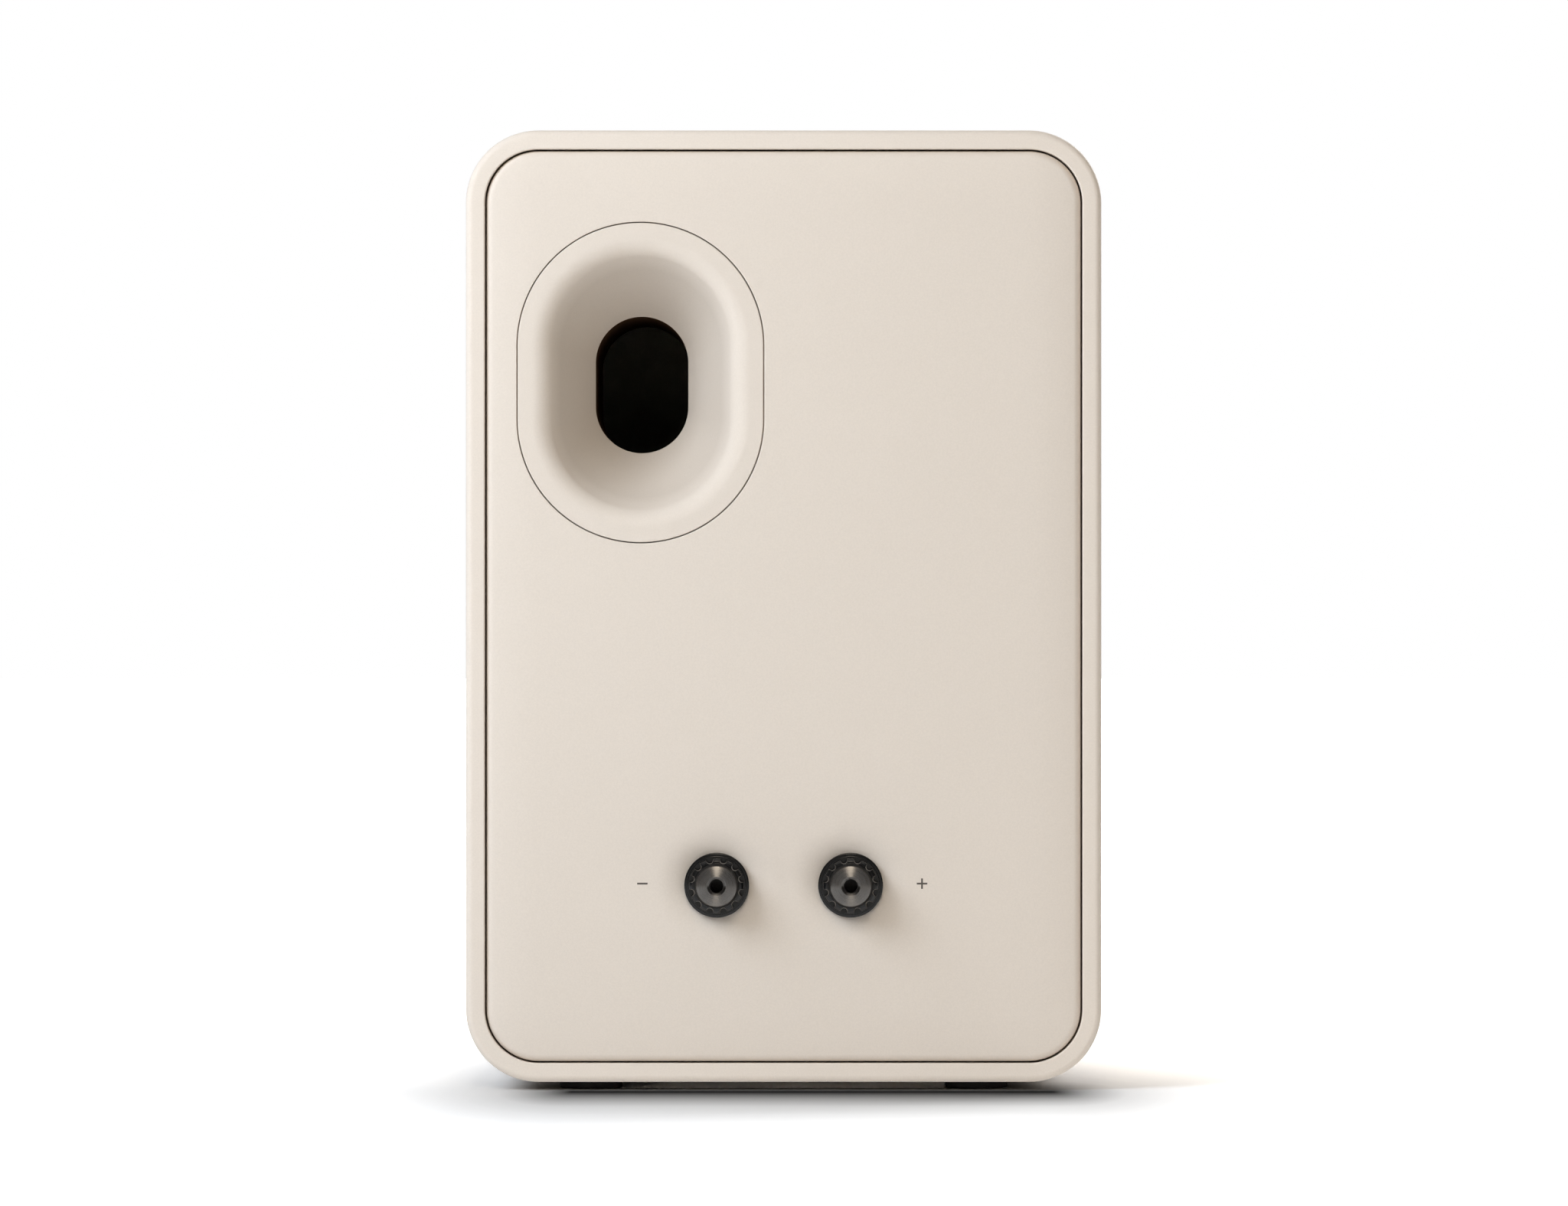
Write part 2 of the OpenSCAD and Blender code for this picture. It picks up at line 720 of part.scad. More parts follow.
module driver_frame() {
    color("silver") {
        difference() {
            union() {
                turned([[collar_in_r, land_f], [flange_in_r, land_f], [flange_in_r, trim_t],
                    [frame_r, trim_t], [frame_r, trim_t + flange_t], [opening_r - 0.6, trim_t + flange_t],
                    [opening_r - 0.6, trim_t + flange_t + 4], [collar_in_r, trim_t + flange_t + 4]]);
                turned([[frame_wall_r - 7, shelf_f], [frame_wall_r, shelf_f], [frame_wall_r, motor_f],
                    [former_r + 3, motor_f], [former_r + 3, motor_f - 4], [frame_wall_r - 3, motor_f - 4],
                    [frame_wall_r - 3, shelf_f + 3], [frame_wall_r - 7, shelf_f + 3]]);
                at_driver() around(spoke_n) rotate([90, 0, 0]) translate([0, 0, -spoke_w / 2])
                    linear_extrude(spoke_w) polygon([
                        [collar_in_r, trim_t + flange_t + 1], [opening_r - 0.6, trim_t + flange_t + 1],
                        [opening_r - 0.6, trim_t + flange_t + 4], [frame_wall_r, shelf_f + 6],
                        [frame_wall_r - 2, shelf_f + 1], [frame_wall_r - 3.5, shelf_f + 1]]);
            }
            at_bolts() {
                translate([0, 0, trim_t - past]) cylinder(r = head_r + loose_fit, h = head_h + 0.2 + past);
                translate([0, 0, trim_t]) cylinder(r = bolt_r + 0.3, h = flange_t + 2);
            }
        }
    }
}

module driver_gasket() {
    color("dimgray") difference() {
        ring(frame_r, flange_in_r, trim_t + flange_t, seat_f);
        at_bolts() cylinder(r = bolt_r + 0.3, h = 2 * seat_f);
    }
}

module driver_bolts() {
    color("black") at_bolts() translate([0, 0, trim_t + 0.2]) difference() {
        union() {
            cylinder(r = head_r, h = head_h);
            translate([0, 0, head_h]) cylinder(r = bolt_r, h = bolt_len);
        }
        translate([0, 0, -past]) cylinder(r = 1.5, h = 1.6 + past, $fn = 6);
    }
}

strip_turn = 30;
strip_gap = 0.1;
strip_t = 1.6;

module driver_tag_strip() {
    color("saddlebrown") at_driver() rotate([0, 0, strip_turn])
        translate([frame_wall_r + strip_gap, -9, shelf_f + 1]) cube([strip_t, 18, 10]);
}

// ---------------------------------------------------------------- woofer

// How far the cone lies behind its rim at radius r: a gentle flare from the neck
function cone_f(r) = rim_f + (neck_f - cone_t - rim_f) * pow((cone_r - r) / (cone_r - former_r), 1.15);

module woofer_cone() {
    steps = 10;
    rim_w2 = 2.4;
    rs = [for (k = [0:steps]) former_r + 0.4 + (cone_r - rim_w2 - former_r - 0.4) * k / steps];
    front = [for (r = rs) [r, cone_f(r + rim_w2 * (r - former_r) / (cone_r - former_r))]];
    back = [for (k = [steps:-1:0]) [front[k][0], front[k][1] + cone_t]];
    color("silver") turned(concat([[neck_r, neck_f - cone_t]], front,
        [[cone_r, rim_f], [cone_r, rim_f + cone_t]], back, [[neck_r, neck_f]]));
}

module voice_coil_former() {
    color("sandybrown") ring(former_r, former_r - 0.3, neck_f, motor_f + plate_t / 2 + coil_h / 2 + 1);
}

module voice_coil() {
    mid = motor_f + plate_t / 2;
    color("peru") ring(former_r + 0.9, former_r + glue_gap, mid - coil_h / 2, mid + coil_h / 2);
}

// A thin turned strip that follows points, thickened along Y
module pleated(points, t) {
    turned(concat(points, [for (i = [len(points) - 1:-1:0]) points[i] + [0, t]]));
}

// Two pleats that step down from the frame's land to the cone's rim
module woofer_surround() {
    top = land_f - surround_t;
    inner = rim_f - surround_t;
    drop = inner - top;
    run = collar_in_r - cone_r;
    color("gray") pleated([[cone_r - 2.2, inner], [cone_r, inner], [cone_r + 0.12 * run, top + 0.72 * drop],
        [cone_r + 0.42 * run, top + 0.66 * drop], [cone_r + 0.54 * run, top + 0.33 * drop],
        [cone_r + 0.84 * run, top + 0.27 * drop], [collar_in_r - 0.1, top],
        [flange_in_r - 0.3, top]], surround_t);
}

module woofer_spider() {
    t = 0.7;
    lands = frame_wall_r - 7.2;
    inner = former_r + glue_gap;
    waves = 8;
    pitch = (lands - inner - 2) / waves;
    color("khaki") pleated(concat([[inner, shelf_f - t]],
        [for (k = [0:waves])
            [inner + 1.6 + k * pitch, shelf_f - t + ((k == 0 || k == waves) ? 0 : (k % 2 == 0 ? 1.1 : -1.1))]],
        [[frame_wall_r - 3.4, shelf_f - t]]), t);
}

pole_r = former_r - 0.8;
pole_in_r = 20.2;

module woofer_front_plate() {
    color("gray") ring(magnet_r, former_r + 1.6, motor_f, motor_f + plate_t);
}

module woofer_magnet() {
    color("dimgray") ring(magnet_r, 32, motor_f + plate_t, motor_f + plate_t + magnet_t);
}

yoke_f = motor_f + plate_t + magnet_t;
motor_end_f = yoke_f + back_plate_t;
duct_r = 10.8;
screw_circle_r = absorber_r + 1.8;
screw_r = 1.5;

module at_absorber_screws() {
    at_driver() around(3, 90) translate([screw_circle_r, 0, 0]) children();
}

module woofer_yoke() {
    color("gray") difference() {
        turned([[pole_in_r, motor_f - 1.5], [pole_r, motor_f - 1.5], [pole_r, yoke_f], [magnet_r, yoke_f],
            [magnet_r, motor_end_f - 1], [magnet_r - 1, motor_end_f], [duct_r + 0.2, motor_end_f],
            [duct_r + 0.2, yoke_f], [pole_in_r, yoke_f]]);
        at_absorber_screws() translate([0, 0, motor_end_f - 5]) cylinder(r = screw_r + 0.05, h = 6);
    }
}

// ---------------------------------------------------------------- tweeter

dome_ball_r = (dome_r * dome_r + dome_h * dome_h) / (2 * dome_h);
dome_ball_f = dome_f - dome_h + dome_ball_r;
dome_wall = 0.4;
horn_r = neck_r - 0.7;
horn_f = neck_f - 1;
horn_in_r = dome_r + 1;
seat_r = 15.6;
body_r = pole_in_r - 0.2;
horn_base_f = dome_f + 1.6;

function fin_under(r) = dome_ball_f - sqrt(pow(dome_ball_r + fin_gap, 2) - r * r);

module tweeter_waveguide() {
    fin_in_r = 3.4;
    fin_out_r = 16.6;
    color("dimgray") {
        turned([[horn_r, horn_f], [horn_r, horn_f + 1.2], [body_r, horn_f + 3], [body_r, horn_base_f],
            [seat_r + 0.2, horn_base_f], [seat_r + 0.2, dome_f + 0.4], [horn_in_r, dome_f - 0.2],
            [horn_in_r, dome_f - 1.2], [horn_in_r + 1.4, dome_f - 3], [horn_in_r + 3.6, dome_f - 4.5]]);
        at_driver() around(fin_n, 90) rotate([90, 0, 0]) translate([0, 0, -fin_t / 2]) linear_extrude(fin_t)
            polygon(concat(
                [for (k = [0:6]) let (r = fin_in_r + (horn_in_r - fin_in_r) * k / 6) [r, fin_under(r)]],
                [[fin_out_r, dome_f - 1.4], [fin_out_r, horn_f + 1.9], [0.95 * dome_r, horn_f],
                    [0.63 * dome_r, horn_f - 1.2], [fin_in_r + 0.8, horn_f - 1.7], [fin_in_r, horn_f - 1.4]]));
    }
}

module tweeter_dome() {
    color("silver") at_driver() rotate_extrude() union() {
        intersection() {
            difference() {
                translate([0, dome_ball_f]) circle(dome_ball_r);
                translate([0, dome_ball_f]) circle(dome_ball_r - dome_wall);
            }
            translate([0, dome_f - dome_h - 1]) square([dome_r + 5, dome_h + 1]);
        }
        translate([dome_r - dome_wall, dome_f - past]) square([dome_wall, 5.5]);
    }
}

module tweeter_coil() {
    color("peru") ring(dome_r + 0.5, dome_r + glue_gap, dome_f + 3, dome_f + 5.4);
}

module tweeter_surround() {
    t = 0.35;
    f = horn_base_f - t;
    color("gray") pleated([[dome_r + glue_gap, f], [dome_r + 0.5, f - 0.4], [dome_r + 1.2, f - 0.8],
        [dome_r + 1.9, f - 0.5], [dome_r + 2.3, f], [seat_r, f]], t);
}

gap_r = dome_r + 0.9;
core_r = dome_r - 1.2;
vent_r = 5;
plate_f = dome_f + 3;
tweeter_plate_t = 2.6;
tweeter_magnet_t = 4.4;
cup_f = plate_f + tweeter_plate_t + tweeter_magnet_t;
cup_t = 4;

module tweeter_pole_plate() {
    color("gray") ring(core_r + 0.5, vent_r, plate_f, plate_f + tweeter_plate_t);
}

module tweeter_magnet() {
    color("silver") ring(core_r, vent_r, plate_f + tweeter_plate_t, cup_f);
}

module tweeter_yoke() {
    color("gray") turned([[gap_r, horn_base_f], [body_r, horn_base_f], [body_r, cup_f + cup_t + 6],
        [body_r - 4, cup_f + cup_t + 6], [body_r - 4, cup_f + cup_t], [vent_r, cup_f + cup_t],
        [vent_r, cup_f], [gap_r, cup_f]]);
}

module tweeter_duct() {
    color("black") turned([[vent_r, cup_f + cup_t], [duct_r - 3, cup_f + cup_t], [duct_r, cup_f + cup_t + 8],
        [duct_r, motor_end_f], [duct_r - 2, motor_end_f]]);
}

// A maze of arc-shaped channels. Each ring of them is cut into three, and a gate joins it to the next ring.
module absorber_disc() {
    web_t = 1.5;
    rib_t = 1.2;
    first_r = duct_r + 1.2;
    pitch = (absorber_r - 1.4 - first_r) / channel_n;
    color("black") difference() {
        union() {
            at_driver() translate([0, 0, motor_end_f]) cylinder(r = absorber_r, h = absorber_t);
            at_absorber_screws() translate([0, 0, motor_end_f]) cylinder(r = 3.6, h = absorber_t);
        }
        at_driver() translate([0, 0, motor_end_f - past]) cylinder(r = duct_r - 2, h = web_t + 2 * past);
        at_driver() translate([0, 0, motor_end_f + web_t]) {
            cylinder(r = duct_r - 2, h = absorber_t);
            for (k = [0:channel_n - 1], third = [0:2]) {
                turn = third * 120 + (k % 2) * 12;
                rotate([0, 0, turn]) rotate_extrude(angle = 106)
                    translate([first_r + k * pitch, 0]) square([pitch - rib_t, absorber_t]);
                rotate([0, 0, turn + (k % 2 == 0 ? 98 : 4)])
                    translate([first_r + k * pitch - rib_t - 0.6, -1.2, 0])
                        cube([rib_t + 1.2, 2.4, absorber_t]);
            }
        }
        at_absorber_screws() cylinder(r = screw_r + loose_fit, h = 2 * motor_end_f);
    }
}

cover_t = 1.5;
absorber_end_f = motor_end_f + absorber_t + cover_t;

module absorber_cover() {
    color("black") difference() {
        union() {
            at_driver() translate([0, 0, absorber_end_f - cover_t]) cylinder(r = absorber_r, h = cover_t);
            at_absorber_screws() translate([0, 0, absorber_end_f - cover_t]) cylinder(r = 3.6, h = cover_t);
        }
        at_absorber_screws() cylinder(r = screw_r + loose_fit, h = 2 * motor_end_f);
    }
}

module absorber_screws() {
    color("silver") at_absorber_screws() {
        translate([0, 0, absorber_end_f]) cylinder(r = 2.8, h = 1.8);
        translate([0, 0, motor_end_f - 4]) cylinder(r = screw_r, h = absorber_t + cover_t + 4);
    }
}

// ---------------------------------------------------------------- braces and damping

pad_disc_t = 2.4;
brace_y0 = front_y + absorber_end_f + pad_disc_t;
brace_y1 = brace_y0 + brace_d;
halving_fit = 0.1;

module motor_pad() {
    color("dimgray") at_driver() translate([0, 0, absorber_end_f])
        cylinder(r = 0.45 * absorber_r, h = pad_disc_t);
}

// A brace drawn flat: its length along X and its depth along Y, with a halving slot from one edge
module brace_outline(length, slot_from_front) {
    half = brace_d / 2;
    difference() {
        translate([-length / 2, brace_y0]) square([length, brace_d]);
        for (side = [-1, 1], row = [0.29, 0.71], step = [0.16, 0.34])
            translate([side * length * step, brace_y0 + brace_d * row]) circle(brace_hole_r);
        translate([-brace_t / 2 - halving_fit,
            slot_from_front ? brace_y0 - 1 : brace_y0 + half - halving_fit])
            square([brace_t + 2 * halving_fit, half + 1 + halving_fit]);
    }
}

module brace_vertical() {
    color("burlywood") translate([0, 0, mid_z]) rotate([0, -90, 0]) translate([0, 0, -brace_t / 2])
        linear_extrude(brace_t) brace_outline(room_h - 2 * pad_t, true);
}

module brace_horizontal() {
    color("burlywood") translate([0, 0, mid_z - brace_t / 2])
        linear_extrude(brace_t) brace_outline(room_w - 2 * pad_t, false);
}

module brace_pads() {
    pad_w = brace_t - 1;
    color("dimgray") for (side = [0, 1]) {
        translate([0, 0, mid_z]) mirror([0, 0, side])
            translate([-pad_w / 2, brace_y0, room_h / 2 - pad_t]) cube([pad_w, brace_d, pad_t]);
        mirror([side, 0, 0])
            translate([room_w / 2 - pad_t, brace_y0, mid_z - pad_w / 2]) cube([pad_t, brace_d, pad_w]);
    }
}

module damping_foam() {
    margin = 8;
    foam_l = shell_d - 60;
    foam_y = seam_y + spigot_d + 12;
    upper = room_h / 2 - brace_t / 2 - 2 * margin;
    lower = upper - 34;
    color("lightslategray") for (side = [0, 1]) mirror([side, 0, 0]) {
        translate([room_w / 2 - foam_t, foam_y, mid_z + brace_t / 2 + margin]) cube([foam_t, foam_l, upper]);
        translate([room_w / 2 - foam_t, foam_y, mid_z - brace_t / 2 - margin - lower])
            cube([foam_t, foam_l, lower]);
    }
}

// ---------------------------------------------------------------- crossover

board_z = floor_z + board_up;
board_x = brace_t / 2 + 4 + board_w / 2;
board_y = brace_y0 + board_l / 2 + 4;
board_top = board_z + board_t;
hole_in = 5;

module at_board(side) {
    translate([side * board_x, board_y, board_z]) children();
}

module at_board_corners() {
    for (side = [-1, 1], sx = [-1, 1], sy = [-1, 1])
        at_board(side) translate([sx * (board_w / 2 - hole_in), sy * (board_l / 2 - hole_in), 0]) children();
}

module board(side) {
    color("darkgreen") difference() {
        at_board(side) translate([-board_w / 2, -board_l / 2, 0]) cube([board_w, board_l, board_t]);
        at_board_corners() translate([0, 0, -past]) cylinder(r = 1.7, h = board_t + 2 * past);
    }
}

module bass_board() board(1);
module treble_board() board(-1);

module board_standoffs() {
    color("white") at_board_corners() translate([0, 0, -board_up]) difference() {
        cylinder(r = 3.5, h = board_up);
        translate([0, 0, 1]) cylinder(r = 1.35, h = board_up);
    }
}

module board_screws() {
    color("silver") at_board_corners() {
        translate([0, 0, board_t]) cylinder(r = 2.8, h = 1.8);
        translate([0, 0, 1.5 - board_up]) cylinder(r = 1.3, h = board_up + board_t - 1.5);
    }
}

// A place on a board's top, as shares of its width and length from its middle
module on_board(side, across, along) {
    at_board(side) translate([across * board_w, along * board_l, board_t]) children();
}

// An air-cored coil with flanges, standing on its board. Its size is a share of the largest coil's.
module coil(share) {
    r = choke_r * share;
    h = choke_h * share;
    core = r * 0.4;
    color("peru") rotate_extrude() polygon([
        [core, 0], [r + 1, 0], [r + 1, 1.2], [r, 1.2],
        [r, h - 1.2], [r + 1, h - 1.2], [r + 1, h], [core, h]]);
}

module bass_coils() {
    on_board(1, -0.07, -0.26) coil(1);
    on_board(1, 0.11, 0.16) coil(0.8);
}

module treble_coil() {
    on_board(-1, 0.04, -0.3) coil(0.7);
}

// A film capacitor lying across its board. Its size is a share of the largest one's.
module capacitor(share) {
    r = capacitor_r * share;
    length = capacitor_l * share;
    translate([-length / 2, 0, r]) rotate([0, 90, 0]) cylinder(r = r, h = length);
}

module film_capacitors() {
    color("royalblue") {
        on_board(1, 0, 0.43) capacitor(0.72);
        on_board(-1, 0, -0.06) capacitor(1);
        on_board(-1, 0, 0.13) capacitor(0.87);
        on_board(-1, -0.07, 0.43) capacitor(0.65);
    }
}

module power_resistors() {
    color("whitesmoke") {
        on_board(1, -0.43, 0.1) cube([resistor_w, resistor_l, resistor_w]);
        on_board(-1, 0, 0.25) translate([-resistor_l / 2, 0, 0]) cube([resistor_l, resistor_w, resistor_w]);
    }
}

// ---------------------------------------------------------------- leads

// A smooth curve through hand-placed points
function between(p, i, u) = let (
    n = len(p) - 1, a = p[max(i - 1, 0)], b = p[i], c = p[i + 1], d = p[min(i + 2, n)])
    0.5 * ((2 * b) + (c - a) * u + (2 * a - 5 * b + 4 * c - d) * u * u + (3 * b - a - 3 * c + d) * u * u * u);
function smooth(p, steps) = concat(
    [for (i = [0:len(p) - 2]) for (k = [0:steps - 1]) between(p, i, k / steps)], [p[len(p) - 1]]);
function unit(v) = v / norm(v);
function heading(p, i) = unit(p[min(i + 1, len(p) - 1)] - p[max(i - 1, 0)]);

// Side vectors that turn as little as they can from ring to ring
function side_vectors(p, i, v) = i == len(p) ? [] :
    let (t = heading(p, i), w = unit(v - (v * t) * t)) concat([w], side_vectors(p, i + 1, w));

module lead(points, steps = 4) {
    path = smooth(points, steps);
    start = heading(path, 0);
    first = abs(start[0]) < 0.8 ? [1, 0, 0] : [0, 1, 0];
    sides = side_vectors(path, 0, first);
    rings = [for (i = [0:len(path) - 1]) let (t = heading(path, i), v = sides[i], w = cross(v, t))
        [for (k = [0:7]) path[i] + lead_r * (cos(k * 45) * v + sin(k * 45) * w)]];
    loft(rings);
}

lead_clear = 0.3;
lead_z = board_top + lead_r + lead_clear;

module input_leads() {
    end_y = face_y - dimple_d + tag_f - tag_t - lead_r - lead_clear;
    x = post_pitch / 2;
    b = lead_bend;
    color("firebrick") for (side = [-1, 1])
        lead([[side * x, end_y, post_z - 1.1 * b], [side * x, end_y - 0.3 * b, post_z - 2 * b],
            [side * (x + 0.2 * b), end_y - 1.4 * b, post_z - 2.8 * b],
            [side * (x + 0.1 * b), end_y - 2.8 * b, board_top + 0.8 * b],
            [side * x, board_y + board_l / 2 - 0.3 * b, lead_z]]);
}

// A point beside the driver's tag strip: across it, and out from its face
function strip_point(across, out) = let (r = frame_wall_r + strip_gap + strip_t + lead_r + out)
    [r * cos(strip_turn) - across * sin(strip_turn), front_y + shelf_f + 6,
        mid_z - r * sin(strip_turn) - across * cos(strip_turn)];

module woofer_leads() {
    b = lead_bend;
    lane_x = room_w / 2 - foam_t - b;
    end_x = board_x + 0.39 * board_w;
    color("firebrick") for (k = [-1, 1])
        lead([strip_point(-3 * k * lead_r, lead_clear), strip_point(-3 * k * lead_r, b / 2) + [0, 0.8 * b, 0],
            [lane_x + 1.6 * k * lead_r, front_y + shelf_f + 2.6 * b, mid_z - 6 * b],
            [lane_x + 1.9 * k * lead_r, front_y + shelf_f + 4 * b, board_top + 3.4 * b],
            [end_x + 1.9 * k * lead_r, board_y - 0.28 * board_l, lead_z]]);
}

module tweeter_leads() {
    gland_y = front_y + motor_end_f + absorber_t / 2;
    start_x = absorber_r + lead_r + lead_clear;
    end_x = board_x + 0.19 * board_w;
    apart = 1.7 * lead_r;
    b = lead_bend;
    color("gray") for (k = [-1, 1])
        lead([[-start_x, gland_y + k * apart, mid_z - 0.2 * b],
            [-start_x - 0.8 * b, gland_y + k * apart, mid_z - 1.4 * b],
            [-start_x - 1.2 * b, gland_y + k * apart, mid_z - 6 * b],
            [k * lead_r - end_x - 0.1 * b, gland_y + 0.8 * b + k * apart, board_top + 2.2 * b],
            [1.9 * k * lead_r - end_x, board_y - 0.41 * board_l, lead_z]]);
}

cabinet_shell();
front_baffle();
rear_panel();
rear_panel_seal();
port_bell();
port_tube();
port_inner_flare();
brace_vertical();
brace_horizontal();
brace_pads();
motor_pad();
damping_foam();
rubber_feet();
stand_inserts();
driver_frame();
driver_gasket();
driver_bolts();
driver_trim_ring();
woofer_surround();
woofer_spider();
woofer_front_plate();
woofer_magnet();
woofer_yoke();
woofer_cone();
voice_coil_former();
voice_coil();
tweeter_waveguide();
tweeter_surround();
tweeter_dome();
tweeter_coil();
tweeter_pole_plate();
tweeter_magnet();
tweeter_yoke();
tweeter_duct();
absorber_disc();
absorber_cover();
absorber_screws();
driver_tag_strip();
bass_board();
treble_board();
board_standoffs();
board_screws();
bass_coils();
treble_coil();
film_capacitors();
power_resistors();
input_leads();
woofer_leads();
tweeter_leads();
post_bushes();
minus_post();
plus_post();
post_lock_nuts();
post_tags();
minus_clamp_ring();
plus_clamp_ring();
minus_nut();
plus_nut();
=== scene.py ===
import math
import bmesh
import bpy
from bmesh.types import BMFace, BMVert
from mathutils import Matrix, Vector


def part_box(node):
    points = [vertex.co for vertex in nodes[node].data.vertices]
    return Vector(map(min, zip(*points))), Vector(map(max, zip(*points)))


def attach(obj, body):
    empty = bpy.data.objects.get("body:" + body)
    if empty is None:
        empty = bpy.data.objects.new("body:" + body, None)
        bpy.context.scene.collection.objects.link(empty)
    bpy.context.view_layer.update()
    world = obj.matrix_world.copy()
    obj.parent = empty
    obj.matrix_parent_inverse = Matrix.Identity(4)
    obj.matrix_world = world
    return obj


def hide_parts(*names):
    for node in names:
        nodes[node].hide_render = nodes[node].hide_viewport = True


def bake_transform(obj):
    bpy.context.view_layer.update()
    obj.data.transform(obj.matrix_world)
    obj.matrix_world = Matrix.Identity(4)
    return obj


# A bookshelf speaker: a cream cabinet with its driver at the front, and the port and terminals at the back
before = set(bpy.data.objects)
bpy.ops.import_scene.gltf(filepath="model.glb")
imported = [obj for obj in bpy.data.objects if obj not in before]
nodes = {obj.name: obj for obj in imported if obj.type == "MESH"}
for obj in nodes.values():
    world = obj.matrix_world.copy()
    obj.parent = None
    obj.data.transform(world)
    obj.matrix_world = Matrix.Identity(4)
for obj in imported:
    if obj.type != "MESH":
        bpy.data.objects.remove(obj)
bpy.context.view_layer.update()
scene = bpy.context.scene
MM = 0.001
TAU = 2 * math.pi


# ---------------------------------------------------------------- sizes, in mm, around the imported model's own

def mm_box(node):
    """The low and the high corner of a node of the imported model."""
    low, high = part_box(node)
    return low / MM, high / MM


shell_lo, shell_hi = mm_box("cabinet_shell")
panel_lo, panel_hi = mm_box("rear_panel")
bell_lo, bell_hi = mm_box("port_bell")
tube_lo, tube_hi = mm_box("port_tube")
nut_lo, nut_hi = mm_box("minus_nut")
ring_lo, ring_hi = mm_box("minus_clamp_ring")
trim_lo, trim_hi = mm_box("driver_trim_ring")
baffle_lo, _ = mm_box("front_baffle")
cone_lo, cone_hi = mm_box("woofer_cone")
foot_lo, foot_hi = mm_box("rubber_feet")
insert_lo, insert_hi = mm_box("stand_inserts")

# The cabinet: its outline, its places from front to back, its wall, and the rim that stands round the panel.
# LEDGE_DROP is the room between the panel's back and the ledge inside the wall
WIDTH, HEIGHT = shell_hi.x - shell_lo.x, shell_hi.z - shell_lo.z
MID_Z = (shell_hi.z + shell_lo.z) / 2
FRONT_Y, SEAM_Y, RIM_Y = baffle_lo.y, shell_lo.y, shell_hi.y
CORNER_R, WALL, RIM_W, LEDGE_DROP = 22.8, 16.0, 6.0, 1.5
RIM_ROUND, RIM_INNER_ROUND, SHELL_CHAMFER = 2.2, 0.5, 0.6

# The rear panel: its face bows away in a curve of PILLOW_R to an edge with a round of EDGE_R
FACE_Y, PANEL_BACK_Y = panel_hi.y, panel_lo.y
PANEL_W, PANEL_H = panel_hi.x - panel_lo.x, panel_hi.z - panel_lo.z
PANEL_R = CORNER_R - (WIDTH - PANEL_W) / 2
EDGE_R, PILLOW_R = 2.6, 105.0

# The places of the terminals, and the dimples that they stand in
POST_X, POST_Z = (nut_lo.x + nut_hi.x) / 2, (nut_lo.z + nut_hi.z) / 2
DIMPLE_R, DIMPLE_FLOOR_R, DIMPLE_D, DIMPLE_HOLLOW, BUSH_HOLE_R = 19.2, 9.7, 1.7, 0.06, 6.15

# The port's oval has a half round of a radius R at each end, whose centres lie S above and below its middle
BELL_R = (bell_hi.x - bell_lo.x) / 2
BELL_S = (bell_hi.z - bell_lo.z) / 2 - BELL_R
PORT_X, PORT_Z = (bell_hi.x + bell_lo.x) / 2, (bell_hi.z + bell_lo.z) / 2
BELL_GAP, HOLE_ROUND, REBATE_W, FLANGE_T = 0.35, 0.22, 6.2, 4.0
LAND, LIP_ROUND, ROLL_R, FUNNEL_ANGLE = 4.4, 0.25, 7.1, math.radians(63)
THROAT_R, THROAT_S, THROAT_Y = 14.7, 7.0, tube_hi.y


# ---------------------------------------------------------------- tools of the workshop

# No step round a corner is as long as this, so what is longer is a straight side
LONGEST_STEP = 5.0


def angles(whole, steps):
    """Even steps from nothing to a whole angle, with both ends."""
    return [whole * k / steps for k in range(steps + 1)]


def of_kind(kind, geom):
    """What is of one kind, vertices or faces, in the result of an operator."""
    return [g for g in geom if isinstance(g, kind)]


def outline(bm, x, z, w, h, r, y, steps, spare):
    """Makes a rounded rectangle across Y, with half sizes w and h about x and z.

    It gives the vertices in order. steps is how many sides a corner's round has, and spare how many more
    vertices each straight side gets.
    """
    known = set(bm.faces)
    upright = Matrix.Translation((x * MM, y * MM, z * MM)) @ Matrix.Rotation(math.pi / 2, 4, "X")
    plate = bmesh.ops.create_grid(bm, x_segments=1, y_segments=1, size=MM, matrix=upright)["verts"]
    bmesh.ops.scale(bm, vec=(w, 1, h), verts=plate, space=Matrix.Translation((-x * MM, -y * MM, -z * MM)))
    arcs = bmesh.ops.bevel(bm, geom=plate, offset=r * MM, offset_type="OFFSET", segments=steps, profile=0.5,
                           affect="VERTICES", material=-1)["verts"]
    bmesh.ops.remove_doubles(bm, verts=arcs, dist=1e-7)
    face = next(f for f in bm.faces if f not in known)
    if spare:
        straight = [e for e in face.edges if e.calc_length() > LONGEST_STEP * MM]
        bmesh.ops.bisect_edges(bm, edges=straight, cuts=spare)
    loop = list(face.verts)
    bm.faces.remove(face)
    return loop


def ways_out(loop, x, z, w, h, r):
    """For each vertex of an outline, its share of the straight core and its direction from there.

    An outline of any other size has its vertices at the same shares and in the same directions.
    """
    ways = []
    for v in loop:
        px, pz = v.co.x / MM - x, v.co.z / MM - z
        qx, qz = max(r - w, min(w - r, px)), max(r - h, min(h - r, pz))
        shares = qx / (w - r) if w > r else 0.0, qz / (h - r) if h > r else 0.0
        ways.append((*shares, (px - qx) / r, (pz - qz) / r))
    return ways


def along(loop):
    """The edges that run along a closed loop of vertices."""
    return [next(e for e in a.link_edges if e.other_vert(a) is b)
            for a, b in zip(loop, loop[1:] + loop[:1])]


